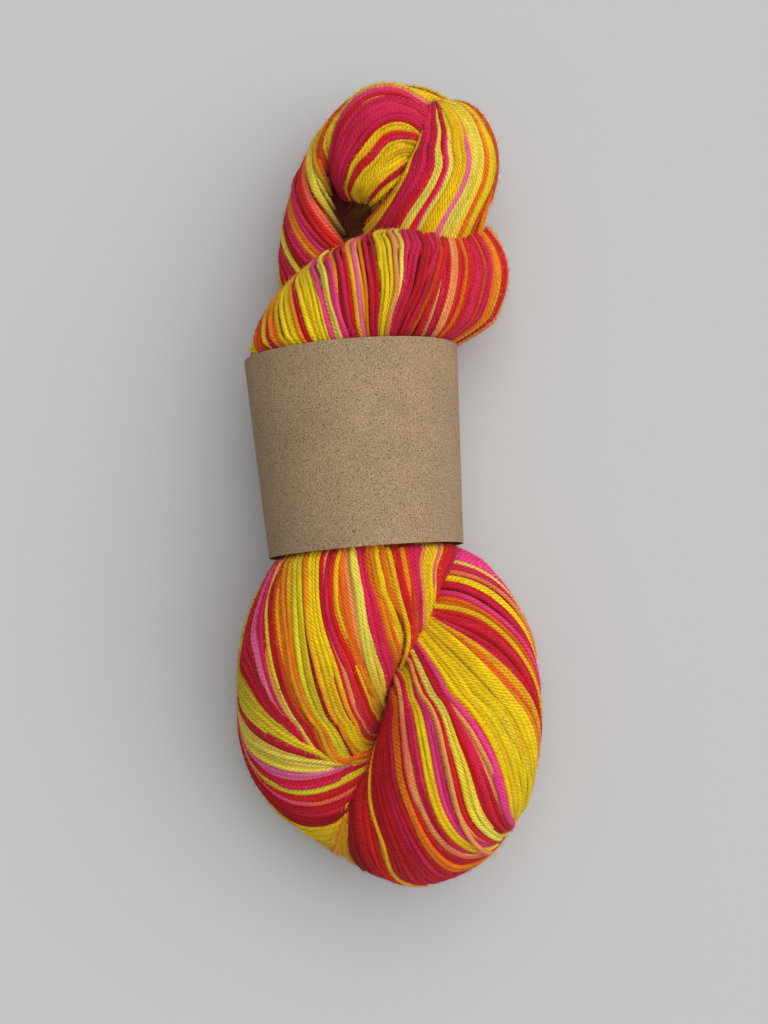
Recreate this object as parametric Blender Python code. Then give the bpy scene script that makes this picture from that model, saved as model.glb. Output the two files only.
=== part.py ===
"""A twisted hank of hand-dyed yarn, lying on its back, with a plain paper band round its waist.

The hank is one thick bundle of yarn. Its middle line is a table of sections: the bundle comes out
from under the end knot, winds down the hank in one hand, turns round at the foot, winds back up
beside itself, goes over the top and is tucked down through its own end loop. The end loop is a
second, short bundle curled round the tuck.

Axes: +Y along the hank towards the knot, +Z up, with the underside on z = 0.
"""
import math
from collections import namedtuple

import bmesh
import bpy
from mathutils import Vector

MM = 0.001

# One section of a bundle, in millimetres: the middle of the bundle and its radius there.
Section = namedtuple("Section", "x y z radius")

WINDING = (
    Section(6.1, 85.6, 15.0, 10.0),      # hidden start, under the knot
    Section(14.4, 73.1, 18.0, 14.5),
    Section(15.0, 55.5, 27.0, 20.0),     # upper right bulge
    Section(0.7, 53.4, 37.8, 19.5),      # crosses in front, above the band
    Section(-14.8, 44.7, 38.0, 19.0),
    Section(-23.1, 31.3, 35.5, 18.8),
    Section(-22.6, 11.1, 30.0, 18.5),    # left side, under the band
    Section(-14.2, -9.8, 17.0, 18.0),
    Section(5.2, -29.2, 18.0, 19.0),     # crosses behind
    Section(19.5, -48.5, 28.0, 22.0),    # right side of the foot
    Section(21.6, -70.0, 35.0, 23.0),
    Section(18.3, -86.7, 39.0, 23.3),
    Section(9.6, -98.0, 30.0, 22.0),     # the turn at the foot
    Section(-4.7, -95.6, 19.0, 20.0),
    Section(-20.2, -81.3, 21.0, 21.5),   # crosses behind, on its way back up
    Section(-21.7, -62.8, 29.5, 22.8),   # left side of the foot
    Section(-18.1, -47.0, 38.0, 23.5),
    Section(-10.0, -30.7, 41.0, 21.5),   # crosses in front, below the band
    Section(1.3, -14.3, 41.0, 18.5),
    Section(4.0, 6.6, 30.0, 18.5),       # right side, under the band
    Section(-2.9, 27.5, 17.0, 18.0),
    Section(-11.8, 45.3, 17.0, 18.0),    # crosses behind, above the band
    Section(-15.1, 64.1, 24.0, 18.0),    # left shoulder
    Section(-13.6, 82.6, 27.0, 16.5),
    Section(-8.5, 99.0, 26.0, 14.0),
    Section(-1.7, 109.3, 26.0, 10.8),    # over the top of the knot
    Section(7.2, 113.3, 28.0, 6.5),
    Section(13.5, 111.5, 31.0, 5.0),     # gathered narrow where it turns down
    Section(17.7, 103.4, 32.0, 9.5),
    Section(18.6, 92.1, 32.0, 13.2),     # the tuck, down the right of the knot
    Section(15.9, 85.6, 31.0, 15.3),
    Section(11.4, 79.3, 27.0, 18.4),
    Section(8.1, 70.7, 20.0, 19.0),      # hidden end, behind the upper bulge
)

END_LOOP = (
    Section(-5.3, 76.0, 20.0, 3.0),      # comes up out of the pit left of the tuck
    Section(-8.2, 80.2, 28.0, 6.0),
    Section(-8.8, 85.6, 34.5, 9.3),
    Section(-7.9, 93.3, 37.5, 12.0),
    Section(-4.7, 101.7, 38.5, 14.0),    # top of the curl
    Section(1.9, 103.7, 37.5, 13.8),
    Section(9.6, 102.9, 32.0, 12.0),
    Section(15.6, 97.5, 23.0, 8.0),      # dives under the tuck
)

SIDES = 24                               # round a bundle
RING_STEP = 5.5                          # mm along a bundle
CURVE_SAMPLES = 12                       # points of the smooth curve for each row
SKIN_CELL = 1.6                          # mm, the finest form kept where bundles meet
SKIN_KEPT = 0.12                         # share of the skin's faces kept

# The band: an oval sleeve, given at its two edges (mm). The ovals have one perimeter.
Oval = namedtuple("Oval", "x y z half_width half_height")
BAND_TOP = Oval(-11.1, 37.0, 29.4, 32.0, 28.6)
BAND_FOOT = Oval(-6.3, -22.2, 32.3, 28.8, 31.5)
BAND_THICKNESS = 1.0
BAND_SIDES = 64
GAP = 0.3                                # between the paper and the yarn
EDGE_CLEARANCE = 0.4                     # the waist runs on past each edge of the paper
FLARE_REACH = 36.0                       # mm along the hank over which the waist opens out
FLARE_GROWTH = 90.0                      # mm that it opens over that reach
FAR_REACH = 140.0                        # beyond both ends of the hank

FLOOR_BOX = (300.0, 400.0, 50.0)         # mm, width, length and depth of what lies below z = 0

SHARP_ANGLE = math.radians(40.0)         # edges sharper than this stay crisp
YARN_COLOUR = (0.86, 0.42, 0.18)         # the dyed yarn's colours taken together
YARN_ROUGHNESS = 0.85
PAPER_COLOUR = (0.40, 0.26, 0.14)
PAPER_ROUGHNESS = 0.8


def clear_scene():
    for item in list(bpy.data.objects):
        bpy.data.objects.remove(item, do_unlink=True)


def make_material(name, colour, roughness):
    material = bpy.data.materials.new(name)
    material.use_nodes = True
    shader = material.node_tree.nodes["Principled BSDF"]
    shader.inputs["Base Color"].default_value = (*colour, 1.0)
    shader.inputs["Roughness"].default_value = roughness
    shader.inputs["Metallic"].default_value = 0.0
    return material


def add_tube(mesh, rings):
    """A closed skin over a list of rings of points (mm), capped at both ends."""
    loops = [[mesh.verts.new(point * MM) for point in ring] for ring in rings]
    count = len(loops[0])
    for low, high in zip(loops, loops[1:]):
        for i in range(count):
            j = (i + 1) % count
            mesh.faces.new((low[i], low[j], high[j], high[i]))
    mesh.faces.new(list(reversed(loops[0])))
    mesh.faces.new(loops[-1])


def finish_object(name, mesh):
    bmesh.ops.recalc_face_normals(mesh, faces=mesh.faces)
    data = bpy.data.meshes.new(name)
    mesh.to_mesh(data)
    mesh.free()
    item = bpy.data.objects.new(name, data)
    bpy.context.collection.objects.link(item)
    return item


def smooth_sections(rows):
    """Sections at about RING_STEP apart on a smooth curve through the rows."""
    rows = [Vector(row) for row in rows]
    padded = [2 * rows[0] - rows[1], *rows, 2 * rows[-1] - rows[-2]]
    fine = []
    for before, start, end, after in zip(padded, padded[1:], padded[2:], padded[3:]):
        fine.extend(curve_through(before, start, end, after))
    fine.append(rows[-1])
    lengths = [0.0]
    for a, b in zip(fine, fine[1:]):
        lengths.append(lengths[-1] + (b.xyz - a.xyz).length)
    steps = round(lengths[-1] / RING_STEP)
    sections = []
    k = 0
    for step in range(steps + 1):
        want = min(lengths[-1] * step / steps, lengths[-1])
        while k < len(fine) - 2 and lengths[k + 1] < want:
            k += 1
        share = (want - lengths[k]) / (lengths[k + 1] - lengths[k])
        sections.append(fine[k].lerp(fine[k + 1], share))
    return sections


def curve_through(before, start, end, after):
    """Points of a centripetal Catmull-Rom curve from start up to, but without, end."""
    t0 = 0.0
    t1 = t0 + math.sqrt((start.xyz - before.xyz).length)
    t2 = t1 + math.sqrt((end.xyz - start.xyz).length)
    t3 = t2 + math.sqrt((after.xyz - end.xyz).length)
    points = []
    for i in range(CURVE_SAMPLES):
        t = t1 + (t2 - t1) * i / CURVE_SAMPLES
        a = before.lerp(start, (t - t0) / (t1 - t0))
        b = start.lerp(end, (t - t1) / (t2 - t1))
        c = end.lerp(after, (t - t2) / (t3 - t2))
        ab = a.lerp(b, (t - t0) / (t2 - t0))
        bc = b.lerp(c, (t - t1) / (t3 - t1))
        points.append(ab.lerp(bc, (t - t1) / (t2 - t1)))
    return points


def bundle_rings(rows):
    """Rings round the rows' smooth curve."""
    sections = smooth_sections(rows)
    middles = [section.xyz for section in sections]
    side = Vector((0.0, 0.0, 1.0))
    rings = []
    for i, section in enumerate(sections):
        ahead = middles[min(i + 1, len(middles) - 1)]
        behind = middles[max(i - 1, 0)]
        along = (ahead - behind).normalized()
        side = (side - along * side.dot(along)).normalized()
        across = along.cross(side)
        ring = []
        for k in range(SIDES):
            turn = math.tau * k / SIDES
            ring.append(middles[i] + section.w * (side * math.cos(turn) + across * math.sin(turn)))
        rings.append(ring)
    return rings


def between(foot, top, share):
    return foot + (top - foot) * share


def waist_ring(share, beyond, grow):
    """An oval across the band's axis: share is 0 at the band's foot edge and 1 at its top edge,
    beyond is how far past it the ring lies, and grow is how far it stands outside the paper."""
    foot = Vector((BAND_FOOT.x, BAND_FOOT.y, BAND_FOOT.z))
    top = Vector((BAND_TOP.x, BAND_TOP.y, BAND_TOP.z))
    along = (top - foot).to_2d().to_3d().normalized()
    across = Vector((along.y, -along.x, 0.0))
    half_width = between(BAND_FOOT.half_width, BAND_TOP.half_width, share) + grow
    half_height = between(BAND_FOOT.half_height, BAND_TOP.half_height, share) + grow
    middle = between(foot, top, share) + along * beyond
    ring = []
    for k in range(BAND_SIDES):
        turn = math.tau * k / BAND_SIDES
        ring.append(middle + across * (half_width * math.cos(turn))
                    + Vector((0.0, 0.0, half_height * math.sin(turn))))
    return ring


def waist_limit():
    """The space that the yarn may fill: just inside the paper, and opening out past its edges."""
    inside = -BAND_THICKNESS - GAP
    rings = [waist_ring(0.0, -FAR_REACH, FLARE_GROWTH),
             waist_ring(0.0, -EDGE_CLEARANCE - FLARE_REACH, FLARE_GROWTH),
             waist_ring(0.0, -EDGE_CLEARANCE, inside),
             waist_ring(1.0, EDGE_CLEARANCE, inside),
             waist_ring(1.0, EDGE_CLEARANCE + FLARE_REACH, FLARE_GROWTH),
             waist_ring(1.0, FAR_REACH, FLARE_GROWTH)]
    return cutter("waist_limit", rings)


def floor_space():
    """Everything under z = 0 near the hank."""
    width, length, depth = FLOOR_BOX
    corners = ((-1, -1), (1, -1), (1, 1), (-1, 1))
    ring = [Vector((x * width / 2, y * length / 2, 0.0)) for x, y in corners]
    below = [point - Vector((0.0, 0.0, depth)) for point in ring]
    return cutter("floor_space", [below, ring])


def cutter(name, rings):
    mesh = bmesh.new()
    add_tube(mesh, rings)
    item = finish_object(name, mesh)
    item.hide_render = True
    item.display_type = "WIRE"
    return item


def add_boolean(item, other, operation):
    modifier = item.modifiers.new(operation.lower(), "BOOLEAN")
    modifier.operation = operation
    modifier.solver = "EXACT"
    modifier.object = other


def shade_round(item):
    item.data.shade_smooth()
    item.data.set_sharp_from_angle(angle=SHARP_ANGLE)


def build_hank():
    """The winding and the end loop grown into one skin, held in at the waist by the band and
    pressed flat where it lies."""
    mesh = bmesh.new()
    add_tube(mesh, bundle_rings(WINDING))
    add_tube(mesh, bundle_rings(END_LOOP))
    hank = finish_object("yarn_hank", mesh)
    shade_round(hank)
    skin = hank.modifiers.new("skin", "REMESH")
    skin.mode = "VOXEL"
    skin.voxel_size = SKIN_CELL * MM
    skin.use_smooth_shade = True
    fewer = hank.modifiers.new("fewer_faces", "DECIMATE")
    fewer.ratio = SKIN_KEPT
    add_boolean(hank, waist_limit(), "INTERSECT")
    add_boolean(hank, floor_space(), "DIFFERENCE")
    hank.data.materials.append(make_material("yarn", YARN_COLOUR, YARN_ROUGHNESS))
    return hank


def build_band():
    """The paper sleeve: out along the outside and back along the inside."""
    mesh = bmesh.new()
    loops = []
    for share, grow in ((0.0, 0.0), (1.0, 0.0), (1.0, -BAND_THICKNESS), (0.0, -BAND_THICKNESS)):
        loops.append([mesh.verts.new(point * MM) for point in waist_ring(share, 0.0, grow)])
    for first, second in zip(loops, loops[1:] + loops[:1]):
        for i in range(BAND_SIDES):
            j = (i + 1) % BAND_SIDES
            mesh.faces.new((first[i], first[j], second[j], second[i]))
    band = finish_object("label_band", mesh)
    shade_round(band)
    band.data.materials.append(make_material("kraft_paper", PAPER_COLOUR, PAPER_ROUGHNESS))
    return band


def main():
    clear_scene()
    build_hank()
    build_band()


main()
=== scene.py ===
"""A twisted hank of hand-dyed yarn with a plain paper band, dressed turn by turn.

The hank is one bundle of yarn on a winding path, and a short end loop curled round its tuck. Every
turn of yarn that shows is a tube laid in a helix on its bundle, or in a sheet over it. More turns lie
under those that fan out, and a core darkened with painted shade fills the bundles just below them.
Stray fibres stand off the turns on top. The band is a sheet of brown paper.
Lengths are millimetres. +Y runs along the hank towards the knot and +Z is up.
"""
import math
from collections import namedtuple

import bpy
import numpy as np
from mathutils import Matrix, Vector
from mathutils.kdtree import KDTree


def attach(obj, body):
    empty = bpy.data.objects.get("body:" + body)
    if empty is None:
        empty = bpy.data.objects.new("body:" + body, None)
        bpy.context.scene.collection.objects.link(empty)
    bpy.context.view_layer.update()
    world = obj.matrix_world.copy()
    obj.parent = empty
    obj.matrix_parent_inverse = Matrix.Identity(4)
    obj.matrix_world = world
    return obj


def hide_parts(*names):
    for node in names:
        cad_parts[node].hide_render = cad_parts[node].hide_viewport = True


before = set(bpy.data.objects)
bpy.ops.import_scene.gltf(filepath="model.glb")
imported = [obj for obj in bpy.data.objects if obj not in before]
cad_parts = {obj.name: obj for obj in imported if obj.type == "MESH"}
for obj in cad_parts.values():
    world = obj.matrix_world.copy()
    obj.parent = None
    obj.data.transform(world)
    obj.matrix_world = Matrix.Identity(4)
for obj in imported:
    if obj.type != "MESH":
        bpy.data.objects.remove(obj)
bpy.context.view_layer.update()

MM = 0.001
TAU = math.tau

# One section of a bundle: its middle, its radius and the angle between its turns and its axis.
Section = namedtuple("Section", "x y z radius lay")

WINDING = (
    Section(6.1, 85.6, 15.0, 10.0, 15),      # hidden start, under the knot
    Section(14.4, 73.1, 18.0, 14.5, 25),
    Section(15.0, 55.5, 27.0, 20.0, 46),     # upper right bulge
    Section(0.7, 53.4, 37.8, 19.5, 66),      # crosses in front, above the band
    Section(-14.8, 44.7, 38.0, 19.0, 64),
    Section(-23.1, 31.3, 35.5, 18.8, 58),
    Section(-22.6, 11.1, 30.0, 18.5, 55),    # left side, under the band
    Section(-14.2, -9.8, 17.0, 18.0, 55),
    Section(5.2, -29.2, 18.0, 19.0, 55),     # crosses behind
    Section(19.5, -48.5, 28.0, 22.0, 57),    # right side of the foot
    Section(21.6, -70.0, 35.0, 23.0, 58),
    Section(18.3, -86.7, 39.0, 23.3, 57),
    Section(9.6, -98.0, 30.0, 22.0, 55),     # the turn at the foot
    Section(-4.7, -95.6, 19.0, 20.0, 55),
    Section(-20.2, -81.3, 21.0, 21.5, 55),   # crosses behind, on its way back up
    Section(-21.7, -62.8, 29.5, 22.8, 50),   # left side of the foot
    Section(-18.1, -47.0, 38.0, 23.5, 45),
    Section(-10.0, -30.7, 41.0, 21.5, 45),   # crosses in front, below the band
    Section(1.3, -14.3, 41.0, 18.5, 50),
    Section(4.0, 6.6, 30.0, 18.5, 55),       # right side, under the band
    Section(-2.9, 27.5, 17.0, 18.0, 55),
    Section(-11.8, 45.3, 17.0, 18.0, 55),    # crosses behind, above the band
    Section(-15.1, 64.1, 24.0, 18.0, 55),    # left shoulder
    Section(-13.6, 82.6, 27.0, 16.5, 48),
    Section(-8.5, 99.0, 26.0, 14.0, 25),
    Section(-1.7, 109.3, 26.0, 10.8, 12),    # over the top of the knot
    Section(7.2, 113.3, 28.0, 6.5, 6),
    Section(13.5, 111.5, 31.0, 5.0, 4),      # gathered narrow where it turns down
    Section(17.7, 103.4, 32.0, 9.5, 4),
    Section(18.6, 92.1, 32.0, 13.2, 4),      # the tuck, down the right of the knot
    Section(15.9, 85.6, 31.0, 15.3, 4),
    Section(11.4, 79.3, 27.0, 18.4, 4),
    Section(8.1, 70.7, 20.0, 19.0, 4),       # hidden end, behind the upper bulge
)

END_LOOP = (
    Section(-5.3, 76.0, 20.0, 3.0, 0),       # comes up out of the pit left of the tuck
    Section(-8.2, 80.2, 28.0, 6.0, 0),
    Section(-8.8, 85.6, 34.5, 9.3, 0),
    Section(-7.9, 93.3, 37.5, 12.0, 0),
    Section(-4.7, 101.7, 38.5, 14.0, 0),     # top of the curl
    Section(1.9, 103.7, 37.5, 13.8, 0),
    Section(9.6, 102.9, 32.0, 12.0, 0),
    Section(15.6, 97.5, 23.0, 8.0, 0),       # dives under the tuck
)

# The hollow left of the tuck, between the curl and the left shoulder: turns of the winding dip there,
# the deeper the nearer they pass to its middle.
PIT = (
    Section(-15.5, 93.0, 43.0, 6.0, 0),
    Section(-12.0, 84.0, 42.0, 9.5, 0),
    Section(-8.5, 76.0, 39.0, 11.5, 0),
    Section(-5.5, 69.0, 36.0, 11.0, 0),
)
PIT_SINCE = 400.0           # along the winding: only the shoulder gives way to the hollow
PIT_DEPTH = 0.95            # at its middle, in its radii
PIT_PAINTED_SHADE = (62, 20, 12)    # painted shade: the colour that yarn in the hollow is darkened towards where it is deepest
PIT_CUT = 5.5               # turns that dip further than this are left out

HAND = -1.0                 # the bundle is twisted to the left
TURN_WIDTH = 1.6            # one turn of yarn
TURN_STEP = 1.7             # along a turn, between the rings of its tube
CURVE_SAMPLES = 40          # of the smooth path for each row of a table
CONTACT_SKIP = 52.0         # nearer than this along its path, a bundle doesn't press on itself
SINK_DEPTH = 0.42           # from one layer of turns to the next, in their widths
BURIED = 8.0                # a turn this deep inside another bundle is left out
PRESS_LIMIT = 3.0           # the furthest that a turn is pushed
SOFTENING = 3               # times that a sheet of turns is evened out
PITCH = 80.0                # along the bundle, in which a turn goes about once round
CROWD = 1.22                # how many more turns lie on top than there is room for side by side
GROUPING = 0.14             # how unevenly the turns are bunched
WANDER = 0.20               # how far a turn strays, in its own widths
PROUD_SHARE = 0.07          # of the turns, which lie loose over the others

# The band: an oval sleeve, given at its two edges.
Oval = namedtuple("Oval", "x y z half_width half_height")
BAND_TOP = Oval(-11.1, 37.0, 29.4, 32.0, 28.6)
BAND_FOOT = Oval(-6.3, -22.2, 32.3, 28.8, 31.5)
BAND_SPACE = 1.3            # paper and gap, inside the oval
BAND_FLARE = 2.5            # how fast the waist opens past the band's edges
BAND_HIDES = (0.24, 0.76)   # share of the band's length under which turns are left out

# The camera looks almost straight down on the hank.
LOOK_AT = (-1.1, -10.4, 30.0)
CAMERA_DISTANCE = 500.0
CAMERA_TILT = math.radians(4.0)
CAMERA_LENS = 58.99
CAMERA_SENSOR = 36.0
PICTURE_WIDTH = 768
PICTURE_HEIGHT = 1024

# The dye's colours, as seen.
DYES = {
    "yellow": (240, 204, 18),
    "pale": (234, 212, 84),
    "lime": (222, 200, 38),
    "gold": (234, 172, 24),
    "orange": (234, 112, 22),
    "rust": (208, 80, 24),
    "peach": (238, 158, 84),
    "salmon": (236, 100, 74),
    "pink": (240, 66, 132),
    "rose": (238, 108, 154),
    "magenta": (218, 38, 82),
    "red": (216, 36, 32),
    "crimson": (198, 26, 36),
    "dark": (168, 20, 24),
}

# The dye that each one runs into.
KIN = {
    "yellow": "gold", "pale": "yellow", "lime": "yellow", "gold": "orange", "orange": "gold", "rust": "red",
    "peach": "salmon", "salmon": "pink", "pink": "magenta", "rose": "pink", "magenta": "crimson",
    "red": "crimson", "crimson": "magenta", "dark": "crimson",
}

# How the turns that show really run, where they leave the even helix: places along the path
# (mm) and angles round the bundle (degrees from its front), from where a turn comes into view to
# where it goes under.
TRACES = (
    ((79.7, 0), (79.6, 15), (79.8, 30), (80.5, 45), (82, 60), (84.5, 75)),
    ((73, -5), (72.8, 15), (73.2, 30), (74, 45), (76, 60), (79, 75)),
    ((57.8, -25), (57.8, -12), (57.9, 0), (58.8, 15), (60.3, 30), (61.5, 45), (63, 60), (64.8, 75)),
    ((54.2, -35), (54, -15), (54, 0), (55, 15), (56, 30), (57, 45)),
    ((49.4, -35), (49.6, -15), (50.2, 0), (51.3, 15), (52.3, 28), (53.3, 40)),
    ((45.5, -30), (46, -20), (47, -10), (48.2, 0), (50, 12), (51.3, 22), (52.2, 35), (52.2, 45)),
    ((179, -75), (179.3, -60), (179.6, -45), (179.6, -30), (180, -20)),
    ((188, -80), (187.5, -60), (187.3, -40), (187.5, -20), (189, -5), (190, 3)),
    ((194.5, -70), (194.8, -50), (195, -30), (195, -15), (194, 0), (191, 9)),
    ((197, -70), (197.5, -55), (197.8, -40), (198, -28), (197.5, -16), (196.5, -6), (194, 6),
     (190, 12)),
    ((203, -75), (203.5, -60), (203, -45), (202, -30), (200.5, -15), (198, 0), (195, 12), (190, 18)),
    ((209, -75), (210, -60), (210, -45), (209, -30), (208, -15), (206, 0), (203, 13), (198, 22),
     (192, 24)),
    ((212, -75), (215, -57), (217, -38), (217.8, -22), (217, -8), (214, 2), (210, 14), (205, 26),
     (199, 32)),
    ((214, -68), (216.5, -50), (218.8, -30), (220.2, -12), (220, 2), (217.5, 11), (213, 17), (208, 26),
     (202, 34)),
    ((216, -66), (219, -46), (221.5, -26), (222.8, -10), (222.3, 3), (219.5, 11), (215, 18), (210, 27),
     (204, 36)),
    ((217, -66), (220, -50), (223.5, -30), (226, -12), (226.7, 0), (225.5, 10), (222, 16), (217, 24),
     (211, 34), (204, 40)),
    ((219.5, -68), (223, -48), (226.2, -30), (228.4, -12), (229.6, 0), (229.9, 10), (229, 18),
     (226.3, 26), (222, 32), (216.5, 37), (210, 41)),
    ((215, -88), (219.5, -70), (224, -52), (228, -34), (231, -18), (233, -3), (234.5, 12), (235.3, 25),
     (234, 37), (230, 45), (224, 50), (217, 52)),
    ((217.5, -90), (223.5, -67), (230, -46), (233, -30), (235, -14), (236.5, 2), (238, 18), (239, 30),
     (239, 40), (237.5, 50), (234, 57), (228, 61)),
    ((222, -92), (228, -70), (232, -54), (235, -42), (237.5, -25), (239.5, -8), (241, 10), (242, 28),
     (242.5, 45), (242, 58)),
    ((225, -95), (231, -72), (236, -50), (240, -35), (242.5, -20), (244.5, 0), (246, 20), (246.8, 40),
     (246.5, 58)),
    ((229, -95), (236, -72), (242, -50), (246, -34), (249.5, -20), (254.5, -8), (260, 4)),
    ((275, -90), (279, -70), (283, -52), (287, -33), (291, -15), (294, 0), (295, 10)),
    ((284, -90), (289, -70), (293, -50), (297, -28), (300, -8), (301, 8), (298, 16)),
    ((290, -90), (296, -72), (300.5, -52), (302, -35), (301.5, -18), (299, -4), (294, 5), (288, 9)),
    ((303, -75), (304, -60), (304.5, -45), (304, -30), (302.5, -15), (299.5, -3), (295, 6), (289, 12)),
    ((305.5, -68), (306.8, -55), (308, -40), (308.3, -28), (307, -18), (304, -9), (300, 0), (295, 9)),
    ((313, -66), (314, -50), (315, -35), (315.3, -20), (314.5, -6), (311, 3), (305, 10), (298, 18)),
    ((319, -55), (320, -40), (320.3, -25), (320, -10), (318.5, 2), (314, 10), (308, 17), (302, 26),
     (296, 30), (290, 28)),
    ((325.5, -48), (325.5, -30), (325, -15), (325.2, 0), (324.7, 10), (322, 16), (317, 22), (311, 27),
     (305, 32)),
    ((331.5, -38), (330, -20), (330.5, -5), (332, 8), (332, 20), (330, 30), (325, 36), (319, 40),
     (312, 45)),
    ((339, -28), (335.5, -18), (334, -6), (335, 6), (336.8, 18), (337.5, 30), (337, 42), (332, 50),
     (325, 55)),
    ((342, -22), (339, -10), (338.5, 0), (339.5, 12), (341, 25), (342.3, 40), (343, 50), (341, 60),
     (335, 68)),
    ((348, -14), (348.8, -4), (349, 5), (347.5, 18), (346.5, 30), (346.2, 45), (347, 60), (344, 72),
     (339, 80)),
    ((352, -8), (352.7, 2), (353, 12), (353.5, 25), (354, 40), (355, 55), (356, 70)),
    ((357, -1), (358, 10), (358.5, 22), (358.5, 35), (359.5, 48), (361, 62), (363, 78)),
    ((361, 7), (363, 17), (365.5, 27), (368, 38), (371.5, 52), (375, 66), (379, 80)),
    ((376, 45), (380, 58), (384, 72), (388, 86)),
)
EVEN_PLACES = (5, 20, 95, 110, 125, 140, 155, 168, 262, 400, 415, 430, 445, 460, 475, 490, 510, 530,
               550, 568)

# The knob: sheets of turns, each given by guide turns on it. A guide's points are where it is seen
# in a picture 768 by 1024 and its height (mm), from its hidden start to its hidden end.
CURL_GUIDES = (
    ((437, 106, 24), (430, 104, 25), (409, 97, 22), (388, 96, 20), (365, 102, 20), (348, 116, 21),
     (340, 134, 22), (337, 153, 23), (341, 180, 23), (351, 202, 22), (358, 212, 22)),
    ((438, 105, 32), (431, 98, 35), (415, 91, 32), (396, 85, 30), (376, 86, 29), (359, 94, 29),
     (345, 109, 30), (335, 128, 31), (330, 148, 32), (330, 168, 31), (336, 187, 30), (347, 203, 28),
     (356, 213, 24)),
    ((432, 112, 38), (420, 106, 43), (408, 98, 45), (393, 91, 45), (382, 91, 45), (370, 94, 45),
     (358, 101, 45), (347, 113, 45), (339, 128, 44), (334, 143, 43), (331, 158, 41), (333, 178, 38),
     (339, 194, 34), (349, 207, 29), (358, 214, 24)),
    ((436, 117, 39), (425, 112, 44), (413, 107, 48), (400, 106, 50), (387, 108, 51), (377, 111, 51),
     (367, 117, 51), (358, 125, 50), (350, 136, 49), (344, 147, 48), (340, 158, 47), (339, 171, 45),
     (341, 184, 41), (346, 197, 36), (352, 207, 30), (360, 214, 24)),
    ((437, 126, 39), (425, 119, 44), (410, 116, 49), (397, 117, 51), (385, 120, 52), (375, 125, 52),
     (367, 133, 51), (360, 143, 50), (352, 157, 48), (347, 170, 46), (346, 183, 43), (349, 195, 38),
     (355, 207, 31), (362, 214, 25)),
    ((433, 139, 39), (421, 134, 43), (408, 132, 48), (397, 132, 50), (385, 134, 50), (377, 138, 50),
     (368, 147, 50), (360, 157, 49), (354, 168, 48), (352, 180, 46), (352, 192, 41), (355, 203, 34),
     (360, 210, 27)),
    ((430, 150, 37), (419, 145, 42), (407, 143, 46), (396, 146, 48), (386, 150, 48), (377, 157, 48),
     (369, 166, 47), (363, 175, 46), (359, 185, 44), (359, 196, 39), (361, 205, 32), (365, 211, 27)),
    ((424, 162, 36), (412, 158, 41), (402, 159, 44), (392, 163, 46), (383, 168, 46), (374, 176, 46),
     (368, 184, 44), (364, 193, 41), (363, 202, 35), (366, 209, 29)),
    ((412, 172, 36), (405, 173, 39), (397, 182, 41), (388, 190, 41), (381, 197, 40), (374, 204, 36),
     (369, 210, 30)),
)
TUCK_GUIDES = (
    ((424, 122, 41), (420, 138, 41), (415, 152, 41), (408, 166, 40), (400, 180, 40), (390, 194, 38),
     (378, 208, 35), (364, 222, 31), (350, 236, 26), (342, 244, 22)),
    ((427, 112, 42), (424, 130, 44), (419, 148, 45), (413, 160, 45), (408, 173, 45), (403, 185, 44),
     (398, 198, 43), (394, 212, 42), (390, 228, 39), (387, 240, 36), (385, 250, 33)),
    ((429, 106, 41), (426, 120, 45), (424, 137, 47), (421, 150, 47), (418, 163, 47), (413, 177, 47),
     (408, 190, 46), (403, 203, 45), (399, 217, 44), (396, 232, 41), (394, 244, 38), (392, 254, 35)),
    ((430, 104, 41), (428, 125, 45), (430, 145, 47), (430, 160, 47), (429, 175, 47), (426, 190, 47),
     (422, 205, 46), (420, 218, 45), (418, 232, 43), (416, 245, 40), (415, 255, 37)),
    ((431, 104, 41), (434, 125, 44), (440, 145, 46), (444, 160, 47), (445, 175, 47), (443, 190, 47),
     (438, 204, 46), (434, 218, 45), (430, 232, 43), (427, 245, 40), (425, 255, 37)),
    ((433, 103, 40), (449, 118, 42), (461, 135, 44), (466, 152, 45), (467, 170, 45), (464, 185, 45),
     (458, 203, 45), (451, 220, 44), (446, 235, 42), (443, 246, 40), (441, 256, 37)),
    ((437, 102, 39), (458, 108, 39), (470, 122, 41), (477, 138, 42), (480, 155, 42), (480, 170, 42),
     (476, 187, 42), (470, 203, 42), (463, 220, 41), (457, 235, 40), (453, 246, 38), (450, 256, 35)),
    ((441, 101, 37), (466, 106, 35), (477, 117, 36), (485, 132, 37), (490, 145, 38), (492, 158, 38),
     (491, 173, 38), (488, 187, 37), (481, 203, 37), (473, 218, 37), (466, 233, 36), (462, 245, 35),
     (459, 255, 33)),
    ((443, 101, 34), (468, 105, 30), (482, 117, 30), (490, 130, 30), (495, 145, 30), (497, 163, 30),
     (495, 182, 30), (490, 200, 30), (483, 213, 30), (476, 228, 30), (471, 242, 29), (467, 252, 28)),
    ((443, 104, 30), (465, 113, 24), (483, 134, 22), (490, 158, 21), (491, 184, 20), (486, 204, 20),
     (479, 220, 20), (473, 240, 20), (470, 250, 20)),
)

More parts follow.
